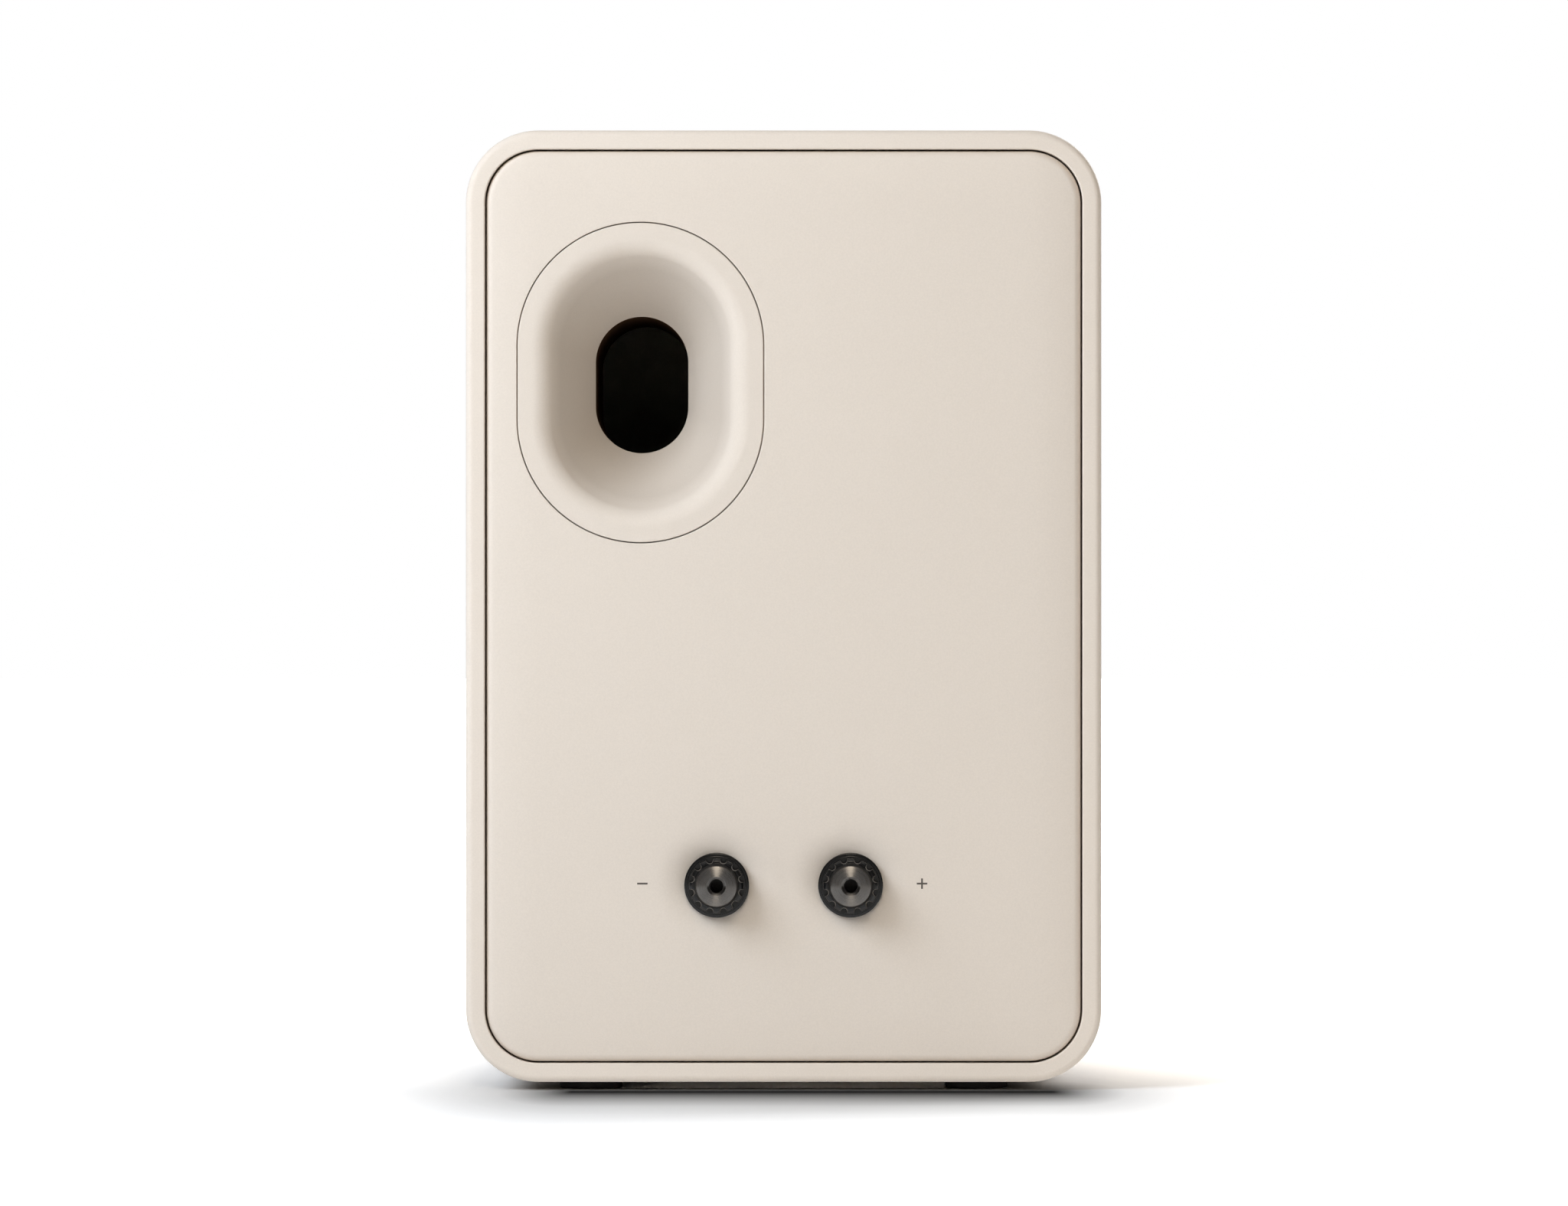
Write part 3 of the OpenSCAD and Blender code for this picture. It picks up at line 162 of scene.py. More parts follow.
def drawn(bm, loop, place):
    """Draws a loop out into a band of faces. place gives the spot of each new vertex, in mm."""
    made = set(of_kind(BMVert, bmesh.ops.extrude_edge_only(bm, edges=along(loop))["geom"]))
    fresh = [next(e.other_vert(v) for e in v.link_edges if e.other_vert(v) in made) for v in loop]
    for i, v in enumerate(fresh):
        v.co = Vector(place(i)) * MM
    return fresh


def run_outline(bm, x, z, stations, steps=24, spare=0, closed=True):
    """Runs an outline about x and z through stations of (half width, half height, corner radius, y)."""
    loops = [outline(bm, x, z, *stations[0], steps, spare)]
    ways = ways_out(loops[0], x, z, *stations[0][:3])
    for w, h, r, y in stations[1:] + ([stations[0]] if closed else []):
        loops.append(drawn(bm, loops[-1], lambda i: (x + ways[i][0] * (w - r) + ways[i][2] * r, y,
                                                     z + ways[i][1] * (h - r) + ways[i][3] * r)))
    return loops


def turned(bm, x, z, profile, steps, closed=True):
    """Turns a profile about the axis along Y through x and z. Its corners are (radius, y, rounding)."""
    known = set(bm.verts)
    chain = [bm.verts.new(((x + r) * MM, y * MM, z * MM)) for r, y, _ in profile]
    for a, b in zip(chain, chain[1:] + chain[:1] if closed else chain[1:]):
        bm.edges.new((a, b))
    for i, (r, y, rounding) in enumerate(profile):
        if rounding:
            here = Vector((r, y))
            before = Vector(profile[i - 1][:2]) - here
            after = Vector(profile[(i + 1) % len(profile)][:2]) - here
            reach = rounding / math.tan(before.angle(after) / 2)
            bmesh.ops.bevel(bm, geom=[chain[i]], offset=reach * MM, offset_type="OFFSET", segments=6,
                            profile=0.5, affect="VERTICES", material=-1)
    verts = [v for v in bm.verts if v not in known]
    edges = [e for e in bm.edges if e.verts[0] not in known]
    bmesh.ops.spin(bm, geom=verts + edges, cent=(x * MM, 0, z * MM), axis=(0, 1, 0), dvec=(0, 0, 0),
                   angle=TAU, steps=steps, use_merge=True, use_normal_flip=False, use_duplicate=False)


def rounded_over(bm, loop, r, steps):
    """Rounds the edge that runs along a loop."""
    bmesh.ops.bevel(bm, geom=along(loop), offset=r * MM, offset_type="OFFSET", segments=steps, profile=0.5,
                    affect="EDGES", material=-1)


def piece(name, bm, body, finishes, stands_for=(), sharp=32.0, even_flats=True):
    """Makes a piece of a bmesh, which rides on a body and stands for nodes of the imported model.

    An edge that turns by more than sharp degrees stays crisp. even_flats weighs the shading by area, so that
    flats look flat beside their rounds.
    """
    bmesh.ops.remove_doubles(bm, verts=bm.verts, dist=2e-6)
    bmesh.ops.recalc_face_normals(bm, faces=bm.faces)
    for face in bm.faces:
        face.smooth = True
    for edge in bm.edges:
        if len(edge.link_faces) == 2 and edge.calc_face_angle(0) > math.radians(sharp):
            edge.smooth = False
    mesh = bpy.data.meshes.new(name)
    bm.to_mesh(mesh)
    bm.free()
    for finish in finishes if isinstance(finishes, list) else [finishes]:
        mesh.materials.append(finish)
    obj = bpy.data.objects.new(name, mesh)
    scene.collection.objects.link(obj)
    if even_flats:
        obj.modifiers.new("even_flats", "WEIGHTED_NORMAL").keep_sharp = True
    if body:
        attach(obj, body)
    if stands_for:
        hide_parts(*stands_for)
    return obj


# ---------------------------------------------------------------- finishes

# A finish's gloss varies in patches that are this much broader than its grain, by this much to each side
PATCH_TO_GRAIN, PATCH_GLOSS = 30, 0.04
# A wave texture along a diagonal has 10 / TAU waves to its size, so this share of a span gives it five turns
SPAN_TO_SIZE = TAU / 20
# The grooves between the turns are darker, painted shade. The rings of turned metal are close, and vary its
# colour and gloss
GROOVE_PAINTED_SHADE = 0.35
RINGS_PER_METRE, RING_SHADE, RING_GLOSS = 6500.0, 0.08, 0.02


def bare(name, color, rough, metal=0.0, specular=0.5, aniso=0.0, coat=0.0, sheen=0.0):
    """A finish of one colour, without grain."""
    m = bpy.data.materials.new(name)
    m.use_nodes = True
    shader = m.node_tree.nodes["Principled BSDF"]
    for socket, value in (("Base Color", (*color, 1.0)), ("Roughness", rough), ("Metallic", metal),
                          ("Specular IOR Level", specular), ("Anisotropic", aniso), ("Coat Weight", coat),
                          ("Coat Roughness", 0.12), ("Sheen Weight", sheen)):
        shader.inputs[socket].default_value = value
    return m


def texture(m, kind, size, stretch=(1, 1, 1), **settings):
    """A texture on the piece's Object coordinates. size is the size of its detail in mm, before stretch."""
    tree = m.node_tree
    place = tree.nodes.new("ShaderNodeTexCoord")
    scaled = tree.nodes.new("ShaderNodeMapping")
    scaled.inputs["Scale"].default_value = [1 / (size * MM * s) for s in stretch]
    made = tree.nodes.new("ShaderNodeTex" + kind)
    for key, value in settings.items():
        if key in made.inputs:
            made.inputs[key].default_value = value
        else:
            setattr(made, key, value)
    made.inputs["Scale"].default_value = 1.0
    tree.links.new(place.outputs["Object"], scaled.inputs["Vector"])
    tree.links.new(scaled.outputs["Vector"], made.inputs["Vector"])
    return made.outputs["Distance" if kind == "Voronoi" else "Fac"]


def between(m, factor, low, high, socket, start=0.3, stop=0.7):
    """Varies a socket between two colours or two values by a factor."""
    tree = m.node_tree
    spread = tree.nodes.new("ShaderNodeMapRange")
    spread.inputs["From Min"].default_value, spread.inputs["From Max"].default_value = start, stop
    tree.links.new(factor, spread.inputs["Value"])
    result = spread.outputs["Result"]
    if socket == "Base Color":
        mix = tree.nodes.new("ShaderNodeMix")
        mix.data_type = "RGBA"
        mix.inputs["A"].default_value, mix.inputs["B"].default_value = (*low, 1.0), (*high, 1.0)
        tree.links.new(result, mix.inputs["Factor"])
        result = mix.outputs["Result"]
    else:
        spread.inputs["To Min"].default_value, spread.inputs["To Max"].default_value = low, high
    tree.links.new(result, tree.nodes["Principled BSDF"].inputs[socket])


def relief(m, height, strength, depth):
    """Raises the surface by a height. depth is in mm."""
    tree = m.node_tree
    made = tree.nodes.new("ShaderNodeBump")
    made.inputs["Strength"].default_value, made.inputs["Distance"].default_value = strength, depth * MM
    tree.links.new(height, made.inputs["Height"])
    tree.links.new(made.outputs["Normal"], tree.nodes["Principled BSDF"].inputs["Normal"])


def grained(name, color, rough, grain, shade=0.05, rise=0.25, depth=0.02, stretch=(1, 1, 1), **rest):
    """A finish with fine grain in its colour and its surface, and broader patches in its gloss.

    grain and depth are in mm. shade is the share by which its colour varies to each side, and rise is how
    strongly the grain stands out.
    """
    m = bare(name, color, rough, **rest)
    fine = texture(m, "Noise", grain, stretch, Detail=3.0)
    between(m, fine, [c * (1 - shade) for c in color], [c * (1 + shade) for c in color], "Base Color")
    patches = texture(m, "Noise", grain * PATCH_TO_GRAIN, stretch, Detail=2.0)
    between(m, patches, rough - PATCH_GLOSS, rough + PATCH_GLOSS, "Roughness")
    relief(m, fine, rise, depth)
    return m


def wound(name, color, span, stretch, rough=0.3, **rest):
    """Wire in even turns, about five to a span in mm, along the axes whose stretch is 1, with painted shade in
    its grooves.
    """
    m = bare(name, color, rough, **rest)
    turns = texture(m, "Wave", span * SPAN_TO_SIZE, stretch, wave_type="BANDS", bands_direction="DIAGONAL",
                    Distortion=0.0)
    # Painted shade in the grooves between the turns
    between(m, turns, [c * GROOVE_PAINTED_SHADE for c in color], color, "Base Color", start=0.0, stop=0.6)
    relief(m, turns, strength=0.8, depth=span * 0.5)
    return m


def turned_metal(name, color, x, z, rough):
    """Metal turned on a lathe, with its fine rings about the axis through x and z."""
    m = bare(name, color, rough, metal=1.0, aniso=0.94)
    tree = m.node_tree
    place = tree.nodes.new("ShaderNodeTexCoord")
    steps = [tree.nodes.new("ShaderNodeVectorMath") for _ in range(4)]
    for step, work, value in zip(steps, ("SUBTRACT", "MULTIPLY", "LENGTH", "NORMALIZE"),
                                 ((x * MM, 0, z * MM), (1, 0, 1), None, None)):
        step.operation = work
        if value:
            step.inputs[1].default_value = value
    away, flat, reach, unit = steps
    tree.links.new(place.outputs["Object"], away.inputs[0])
    tree.links.new(away.outputs["Vector"], flat.inputs[0])
    tree.links.new(flat.outputs["Vector"], reach.inputs[0])
    tree.links.new(flat.outputs["Vector"], unit.inputs[0])
    world = tree.nodes.new("ShaderNodeVectorTransform")
    world.vector_type, world.convert_from, world.convert_to = "VECTOR", "OBJECT", "WORLD"
    tree.links.new(unit.outputs["Vector"], world.inputs["Vector"])
    tree.links.new(world.outputs["Vector"], tree.nodes["Principled BSDF"].inputs["Tangent"])
    rings = tree.nodes.new("ShaderNodeTexNoise")
    rings.noise_dimensions = "1D"
    rings.inputs["Scale"].default_value = RINGS_PER_METRE
    tree.links.new(reach.outputs["Value"], rings.inputs["W"])
    ring = rings.outputs["Fac"]
    between(m, ring, [c * (1 - RING_SHADE) for c in color], [c * (1 + RING_SHADE) for c in color], "Base Color")
    between(m, ring, rough - RING_GLOSS, rough + RING_GLOSS, "Roughness")
    return m


def painted_shade_inwards(m, start, depth, painted_shade_color):
    """Paints shade: the finish goes over to a darker tint, from start to depth in mm behind the panel's face.
    """
    tree = m.node_tree
    shader = tree.nodes["Principled BSDF"]
    place, parts = tree.nodes.new("ShaderNodeTexCoord"), tree.nodes.new("ShaderNodeSeparateXYZ")
    fade, mix = tree.nodes.new("ShaderNodeMapRange"), tree.nodes.new("ShaderNodeMix")
    mix.data_type, mix.blend_type = "RGBA", "MULTIPLY"
    fade.inputs["From Min"].default_value = (FACE_Y - start) * MM
    fade.inputs["From Max"].default_value = (FACE_Y - depth) * MM
    tree.links.new(place.outputs["Object"], parts.inputs["Vector"])
    tree.links.new(parts.outputs["Y"], fade.inputs["Value"])
    tree.links.new(fade.outputs["Result"], mix.inputs["Factor"])
    tree.links.new(shader.inputs["Base Color"].links[0].from_socket, mix.inputs["A"])
    mix.inputs["B"].default_value = (*painted_shade_color, 1.0)
    tree.links.new(mix.outputs["Result"], shader.inputs["Base Color"])


# Each grained finish has its name, its colour, its roughness and the size of its grain in mm.
# The shell's cream is a little paler than the rest
CREAM, SHELL_PALER = (0.81, 0.73, 0.645), 1.045
shell_lacquer = grained("shell_lacquer", [c * SHELL_PALER for c in CREAM], 0.5, 0.55, shade=0.022, rise=0.3,
                        depth=0.012, specular=0.2)
lacquer = grained("cream_lacquer", CREAM, 0.45, 0.55, shade=0.022, rise=0.3, depth=0.012, specular=0.35)
moulding = grained("cream_moulding", CREAM, 0.50, 0.5, shade=0.018, rise=0.3, depth=0.010, specular=0.35)
# The port's mouth is the same cream, with painted shade that darkens it deeper into the funnel
port_lacquer_painted_shade = grained("port_lacquer_painted_shade", CREAM, 0.50, 0.5, shade=0.018, rise=0.3, depth=0.010, specular=0.35)
painted_shade_inwards(port_lacquer_painted_shade, start=0.5, depth=9.0, painted_shade_color=(0.80, 0.79, 0.775))
clamp_black = grained("clamp_moulding", (0.005, 0.0052, 0.0055), 0.17, 0.3, shade=0.1, rise=0.2,
                      depth=0.003, specular=0.5)
grip_black = grained("nut_grip", (0.006, 0.0062, 0.0065), 0.17, 0.3, shade=0.1, rise=0.2, depth=0.003,
                     specular=0.5)
nose_black = grained("nut_nose", (0.008, 0.008, 0.008), 0.6, 0.3, shade=0.1, rise=0.2, depth=0.006,
                     specular=0.08)
mark_ink = grained("polarity_ink", (0.10, 0.085, 0.07), 0.6, 0.2)
foot_rubber = grained("foot_rubber", (0.014, 0.0135, 0.013), 0.72, 0.4, shade=0.15, rise=0.4, depth=0.03,
                      specular=0.3)
duct_plastic = grained("port_tube_plastic", (0.085, 0.040, 0.017), 0.7, 0.6, shade=0.1, specular=0.2)
black_plastic = grained("black_plastic", (0.012, 0.010, 0.008), 0.5, 0.4, shade=0.12, specular=0.35)
black_nylon = grained("black_nylon", (0.012, 0.012, 0.012), 0.5, 0.4, shade=0.12)
gap_foam = grained("gap_foam", (0.045, 0.028, 0.018), 0.95, 0.8, shade=0.2, rise=0.6, depth=0.1,
                   specular=0.1)
foam_rubber = grained("foam_rubber", (0.03, 0.03, 0.032), 0.9, 0.8, shade=0.2, rise=0.6, depth=0.1,
                      specular=0.2)
trim_metal = grained("trim_metal", (0.70, 0.67, 0.63), 0.32, 0.35, shade=0.03, rise=0.1, depth=0.002,
                     metal=1.0)
cone_metal = grained("cone_alloy", (0.62, 0.595, 0.56), 0.48, 0.25, shade=0.03, rise=0.2, depth=0.004,
                     metal=0.85)
surround_rubber = grained("surround_rubber", (0.40, 0.365, 0.325), 0.62, 0.4, shade=0.03, rise=0.3,
                          depth=0.02, specular=0.35)
cast_frame = grained("cast_frame", (0.4, 0.4, 0.405), 0.5, 0.9, shade=0.1, rise=0.4, depth=0.04, metal=1.0)
black_steel = grained("black_steel", (0.03, 0.03, 0.03), 0.4, 0.5, shade=0.15, metal=1.0)
brass = grained("plain_brass", (0.62, 0.42, 0.16), 0.3, 0.5, shade=0.08, metal=1.0, stretch=(1, 1, 8))
zinc = grained("zinc_steel", (0.62, 0.62, 0.61), 0.35, 0.8, shade=0.12, metal=1.0)
motor_steel = grained("motor_steel", (0.35, 0.35, 0.36), 0.35, 0.5, shade=0.1, metal=1.0, stretch=(1, 6, 1))
nickel = grained("plated_magnet", (0.7, 0.68, 0.64), 0.18, 0.6, shade=0.04, rise=0.1, depth=0.005,
                 metal=1.0)
post_plate = grained("post_plate", (0.045, 0.043, 0.042), 0.4, 0.3, shade=0.15, metal=1.0)
ferrite = grained("ferrite", (0.03, 0.03, 0.033), 0.7, 1.2, shade=0.2, rise=0.5, depth=0.05)
film_former = grained("former_film", (0.4, 0.16, 0.03), 0.35, 0.5, shade=0.1, stretch=(1, 5, 1), coat=0.4)
board_green = grained("circuit_board", (0.01, 0.09, 0.035), 0.35, 1.5, shade=0.25, rise=0.3, depth=0.03,
                      coat=0.4)
white_nylon = grained("white_nylon", (0.75, 0.74, 0.68), 0.5, 0.6, shade=0.03)
phenolic = grained("phenolic_strip", (0.14, 0.05, 0.02), 0.5, 0.8, shade=0.3, stretch=(4, 1, 1))
film_can = grained("film_can", (0.02, 0.06, 0.25), 0.28, 1.0, shade=0.1, coat=0.5)
cement = grained("resistor_body", (0.75, 0.73, 0.68), 0.8, 0.7, shade=0.1, rise=0.6, depth=0.08)
red_lead = grained("lead_red", (0.35, 0.01, 0.01), 0.45, 0.6, shade=0.1)
grey_lead = grained("lead_grey", (0.12, 0.12, 0.13), 0.45, 0.6, shade=0.1)
copper = wound("copper_wire", (0.62, 0.24, 0.10), 0.8, stretch=(1000, 1, 1000), metal=0.9)
board_copper = wound("choke_wire", (0.62, 0.24, 0.10), 1.0, stretch=(1000, 1, 1), metal=0.9)

acoustic_foam = bare("acoustic_foam", (0.12, 0.125, 0.14), 1.0, specular=0.1, sheen=0.3)
cells = texture(acoustic_foam, "Voronoi", 1.6)
between(acoustic_foam, cells, (0.05, 0.052, 0.06), (0.15, 0.155, 0.17), "Base Color", start=0.1, stop=0.7)
relief(acoustic_foam, cells, strength=0.9, depth=0.6)

spider_cloth = bare("treated_cloth", (0.35, 0.25, 0.1), 0.85, specular=0.3, sheen=0.2)
weave = texture(spider_cloth, "Wave", 0.25, wave_type="BANDS", bands_direction="DIAGONAL", Distortion=0.6)
between(spider_cloth, weave, (0.22, 0.15, 0.05), (0.42, 0.31, 0.13), "Base Color", start=0.1, stop=0.9)
relief(spider_cloth, weave, strength=0.5, depth=0.1)

plywood = bare("plywood", (0.56, 0.37, 0.21), 0.6)
figure = texture(plywood, "Noise", 18, (1, 6, 1), Detail=6.0, Distortion=0.8)
between(plywood, figure, (0.47, 0.29, 0.15), (0.63, 0.43, 0.26), "Base Color")
relief(plywood, figure, strength=0.3, depth=0.15)

# ---------------------------------------------------------------- cabinet shell

# Each corner of the wall's section has its offset from the cabinet's outline, negative inwards, and its Y
ledge_y = PANEL_BACK_Y - LEDGE_DROP
shell_path = [(0.0, SEAM_Y + SHELL_CHAMFER), (0.0, RIM_Y), (-RIM_W, RIM_Y), (-RIM_W, ledge_y),
              (-WALL, ledge_y), (-WALL, SEAM_Y), (-SHELL_CHAMFER, SEAM_Y)]
bm = bmesh.new()
loops = run_outline(bm, 0, MID_Z, [(WIDTH / 2 + d, HEIGHT / 2 + d, CORNER_R + d, y) for d, y in shell_path])
rounded_over(bm, loops[1], RIM_ROUND, 8)
rounded_over(bm, loops[2], RIM_INNER_ROUND, 4)
shell = piece("shell_wood", bm, "cabinet", shell_lacquer, ["cabinet_shell"])

# Blind holes under the cabinet for the threaded inserts. The drill starts a little below the cabinet
INSERT_R, DRILL_BELOW = 4.5, 1.0
cutter_mesh = bpy.data.meshes.new("insert_drill")
bm = bmesh.new()
for x in (-insert_hi.x + INSERT_R, insert_hi.x - INSERT_R):
    for y in (insert_lo.y + INSERT_R, insert_hi.y - INSERT_R):
        middle = Matrix.Translation((x * MM, y * MM, (insert_lo.z + insert_hi.z - DRILL_BELOW) / 2 * MM))
        bmesh.ops.create_cone(bm, cap_ends=True, segments=48, radius1=INSERT_R * MM, radius2=INSERT_R * MM,
                              depth=(insert_hi.z - insert_lo.z + DRILL_BELOW) * MM, matrix=middle)
bm.to_mesh(cutter_mesh)
bm.free()
drill = bpy.data.objects.new("insert_drill", cutter_mesh)
scene.collection.objects.link(drill)
drilled = shell.modifiers.new("drilled", "BOOLEAN")
drilled.operation, drilled.solver, drilled.object = "DIFFERENCE", "EXACT", drill
made = bpy.data.meshes.new_from_object(shell.evaluated_get(bpy.context.evaluated_depsgraph_get()))
shell.modifiers.clear()
shell.data = made
made.name = "shell_wood"
bpy.data.objects.remove(drill)

# ---------------------------------------------------------------- rear panel

# The bow of the face runs on into the round of its edge, where both have turned by the angle join
pillow_y = FACE_Y - PILLOW_R
edge_y = pillow_y + math.sqrt((PILLOW_R - EDGE_R) ** 2 - (PANEL_R - EDGE_R) ** 2)
join = math.atan2(edge_y - pillow_y, PANEL_R - EDGE_R)


def face_height(x, z):
    """Y of the panel's face at a place, which falls away in a shallow curve towards its edge."""
    past_x, past_z = abs(x) - PANEL_W / 2 + PANEL_R, abs(z - MID_Z) - PANEL_H / 2 + PANEL_R
    reach = math.hypot(max(past_x, 0), max(past_z, 0)) + min(max(past_x, past_z), 0)
    return pillow_y + math.sqrt(PILLOW_R ** 2 - max(reach, 0) ** 2)


side_path = [(EDGE_R * math.cos(a) - EDGE_R, edge_y + EDGE_R * math.sin(a)) for a in reversed(angles(join, 12))]
side_path += [(0.0, edge_y - 0.3), (0.0, PANEL_BACK_Y)]
bm = bmesh.new()
run_outline(bm, 0, MID_Z, [(PANEL_W / 2 + d, PANEL_H / 2 + d, PANEL_R + d, y) for d, y in side_path],
            spare=30, closed=False)

# Each step of the port's hole has its offset from the hole's edge, negative inwards, and its Y from the face.
# The steps of lip_path follow the bow
hole_r = BELL_R + BELL_GAP
lip_path = [(0.9, 0.0), (HOLE_ROUND, 0.0)]
lip_path += [(HOLE_ROUND - HOLE_ROUND * math.sin(a), HOLE_ROUND * math.cos(a) - HOLE_ROUND)
             for a in angles(math.pi / 2, 4)[1:]]
lip_path += [(0.0, -0.5)]
hole_path = lip_path + [(0.0, -FLANGE_T), (-REBATE_W, -FLANGE_T), (-REBATE_W, PANEL_BACK_Y - FACE_Y)]
hole_steps = [(hole_r + d, hole_r + d + BELL_S, hole_r + d, FACE_Y + y) for d, y in hole_path]
port_hole = run_outline(bm, PORT_X, PORT_Z, hole_steps, steps=40, spare=6, closed=False)
for loop, (_, drop) in zip(port_hole, lip_path):
    for v in loop:
        v.co.y = (face_height(v.co.x / MM, v.co.z / MM) + drop) * MM

# A dimple's wall turns down along round_r by the angle slope, then back along hollow_r into its flat floor
wall = DIMPLE_R - DIMPLE_FLOOR_R
arcs_r = (wall ** 2 + DIMPLE_D ** 2) / (2 * DIMPLE_D)
hollow_r = DIMPLE_HOLLOW * arcs_r
round_r = arcs_r - hollow_r
slope = math.asin((1 - DIMPLE_HOLLOW) * wall / round_r)
dish = [(DIMPLE_R + 0.8, 0.0)]
dish += [(DIMPLE_R - round_r * math.sin(a), round_r * (math.cos(a) - 1)) for a in angles(slope, 16)]
dish += [(DIMPLE_FLOOR_R + hollow_r * math.sin(a), hollow_r * (1 - math.cos(a)) - DIMPLE_D)
         for a in reversed(angles(slope, 8)[:-1])]
dish += [(BUSH_HOLE_R, -DIMPLE_D), (BUSH_HOLE_R, PANEL_BACK_Y - FACE_Y)]
for side in (-1, 1):
    turned(bm, side * POST_X, POST_Z, [(r, FACE_Y + d, 0) for r, d in dish], steps=96, closed=False)

# The back and the face are filled in, and the face is cut into strips along its edges so that it can bow.
# The face's edges are those less than FRONT_ZONE behind it
STRIPS, FRONT_ZONE = 9, 3.0
open_edges = [e for e in bm.edges if len(e.link_faces) == 1]
front = [e for e in open_edges if e.verts[0].co.y > (FACE_Y - FRONT_ZONE) * MM]
back = [e for e in open_edges if e not in front]
bmesh.ops.triangle_fill(bm, use_beauty=True, edges=back, normal=(0, -1, 0))
face = of_kind(BMFace, bmesh.ops.triangle_fill(bm, use_beauty=True, edges=front, normal=(0, 1, 0))["geom"])
uncut = set(face)
face += [e for e in bm.edges if not uncut.isdisjoint(e.link_faces)]
face += [v for v in bm.verts if not uncut.isdisjoint(v.link_faces)]
for k in range(STRIPS):
    for way, half in ((Vector((1, 0, 0)), PANEL_W / 2), (Vector((0, 0, 1)), PANEL_H / 2)):
        for side in (-1, 1):
            out = half - PANEL_R + (PANEL_R - EDGE_R) * k / STRIPS
            place = way * side * out * MM + Vector((0, 0, MID_Z * MM))
            face = bmesh.ops.bisect_plane(bm, geom=face, dist=1e-6, plane_co=place, plane_no=way)["geom"]
for v in {v for f in of_kind(BMFace, face) for v in f.verts}:
    v.co.y = face_height(v.co.x / MM, v.co.z / MM) * MM
piece("rear_panel_board", bm, "cabinet", lacquer, ["rear_panel"], even_flats=False)

# ---------------------------------------------------------------- port

ROLL_OUT = BELL_R - LAND
FUNNEL_R = ROLL_OUT - ROLL_R * math.sin(FUNNEL_ANGLE)
ROLL_D = ROLL_R * (1 - math.cos(FUNNEL_ANGLE))
TUBE_R = (tube_hi.x - tube_lo.x) / 2
SOCKET_R, SOCKET_OUT_R, SOCKET_Y = TUBE_R + 0.05, TUBE_R + 3, bell_lo.y
BODY_R, BODY_END_Y, COLLAR_R = BELL_R - REBATE_W, PANEL_BACK_Y - 2, FUNNEL_R - 4

# Each step of the mouth's section has its R, its S and its Y. The first one is the back of the flange's edge
bell = [(BELL_R, BELL_S, FACE_Y - FLANGE_T), (BELL_R, BELL_S, FACE_Y - 0.6)]
bell += [(BELL_R - LIP_ROUND + LIP_ROUND * math.cos(a), BELL_S, FACE_Y - LIP_ROUND + LIP_ROUND * math.sin(a))
         for a in angles(math.pi / 2, 4)]
bell += [(BELL_R - 0.5, BELL_S, FACE_Y), (ROLL_OUT + 0.5, BELL_S, FACE_Y)]
bell += [(ROLL_OUT - ROLL_R * math.sin(a), BELL_S, FACE_Y - ROLL_R * (1 - math.cos(a)))
         for a in angles(FUNNEL_ANGLE, 18)]
bell += [(FUNNEL_R + (THROAT_R - FUNNEL_R) * u, BELL_S + (THROAT_S - BELL_S) * u,
          FACE_Y - ROLL_D + (THROAT_Y + ROLL_D - FACE_Y) * u) for u in [k / 12 for k in range(1, 13)]]
bell += [(SOCKET_R, THROAT_S, THROAT_Y), (SOCKET_R, THROAT_S, SOCKET_Y), (SOCKET_OUT_R, THROAT_S, SOCKET_Y),
         (SOCKET_OUT_R, THROAT_S, THROAT_Y), (COLLAR_R, BELL_S, THROAT_Y), (COLLAR_R, BELL_S, BODY_END_Y),
         (BODY_R, BELL_S, BODY_END_Y), (BODY_R, BELL_S, FACE_Y - FLANGE_T)]
bm = bmesh.new()
run_outline(bm, PORT_X, PORT_Z, [(r, r + s, r, y) for r, s, y in bell], steps=40)
piece("port_mouth", bm, "cabinet", port_lacquer_painted_shade, ["port_bell"], even_flats=False)

# ---------------------------------------------------------------- terminals

# A nut, outwards from its clamp: the fluted grip, a bevel up to its crest, the cone of its nose, and its end,
# which rises by CROWN to the mouth of its hole
GRIP_R, GRIP_LEN, BEVEL_START, BEVEL_END = 8.6, 4.9, 0.35, 0.5
CREST_R, SHOULDER_R, END_R, CROWN, MOUTH_R, NUT_HOLE_R, POST_R = 7.75, 7.05, 6.3, 0.3, 2.95, 2.25, 4.05
GRIP_Y, NOSE_Y = nut_lo.y + GRIP_LEN, nut_hi.y - CROWN
BEVEL_Y, CREST_Y = GRIP_Y - BEVEL_START, GRIP_Y + BEVEL_END

# Its flutes: how many, their radius, how much wider they are at the crest, and how far in they are centred
FLUTES, FLUTE_R, FLUTE_FLARE, FLUTE_IN = 12, 1.0, 0.3, 0.25

# The clamp ring under a nut: its outer radius, and the seat for the nut, which stands a little proud of it
CLAMP_R = (ring_hi.x - ring_lo.x) / 2
NUT_SEAT_R, NUT_SEAT_H = GRIP_R + 0.6, 0.3


def press_flutes(bm, x):
    """Presses the flutes into a turned nut on the axis through x. They widen towards its crest."""
    centre, pitch = GRIP_R - FLUTE_IN, TAU / FLUTES
    for v in bm.verts:
        cut_r = FLUTE_R + FLUTE_FLARE * min(max(0.0, v.co.y / MM - BEVEL_Y), CREST_Y - BEVEL_Y)
        out = Vector((v.co.x / MM - x, v.co.z / MM - POST_Z))
        off = math.atan2(out.y, out.x) % pitch - pitch / 2
        side = centre * math.sin(off)
        if abs(side) < cut_r:
            reach = centre * math.cos(off) - math.sqrt(cut_r ** 2 - side ** 2)
            if out.length > reach:
                out *= reach / out.length
                v.co.x, v.co.z = (x + out.x) * MM, (POST_Z + out.y) * MM


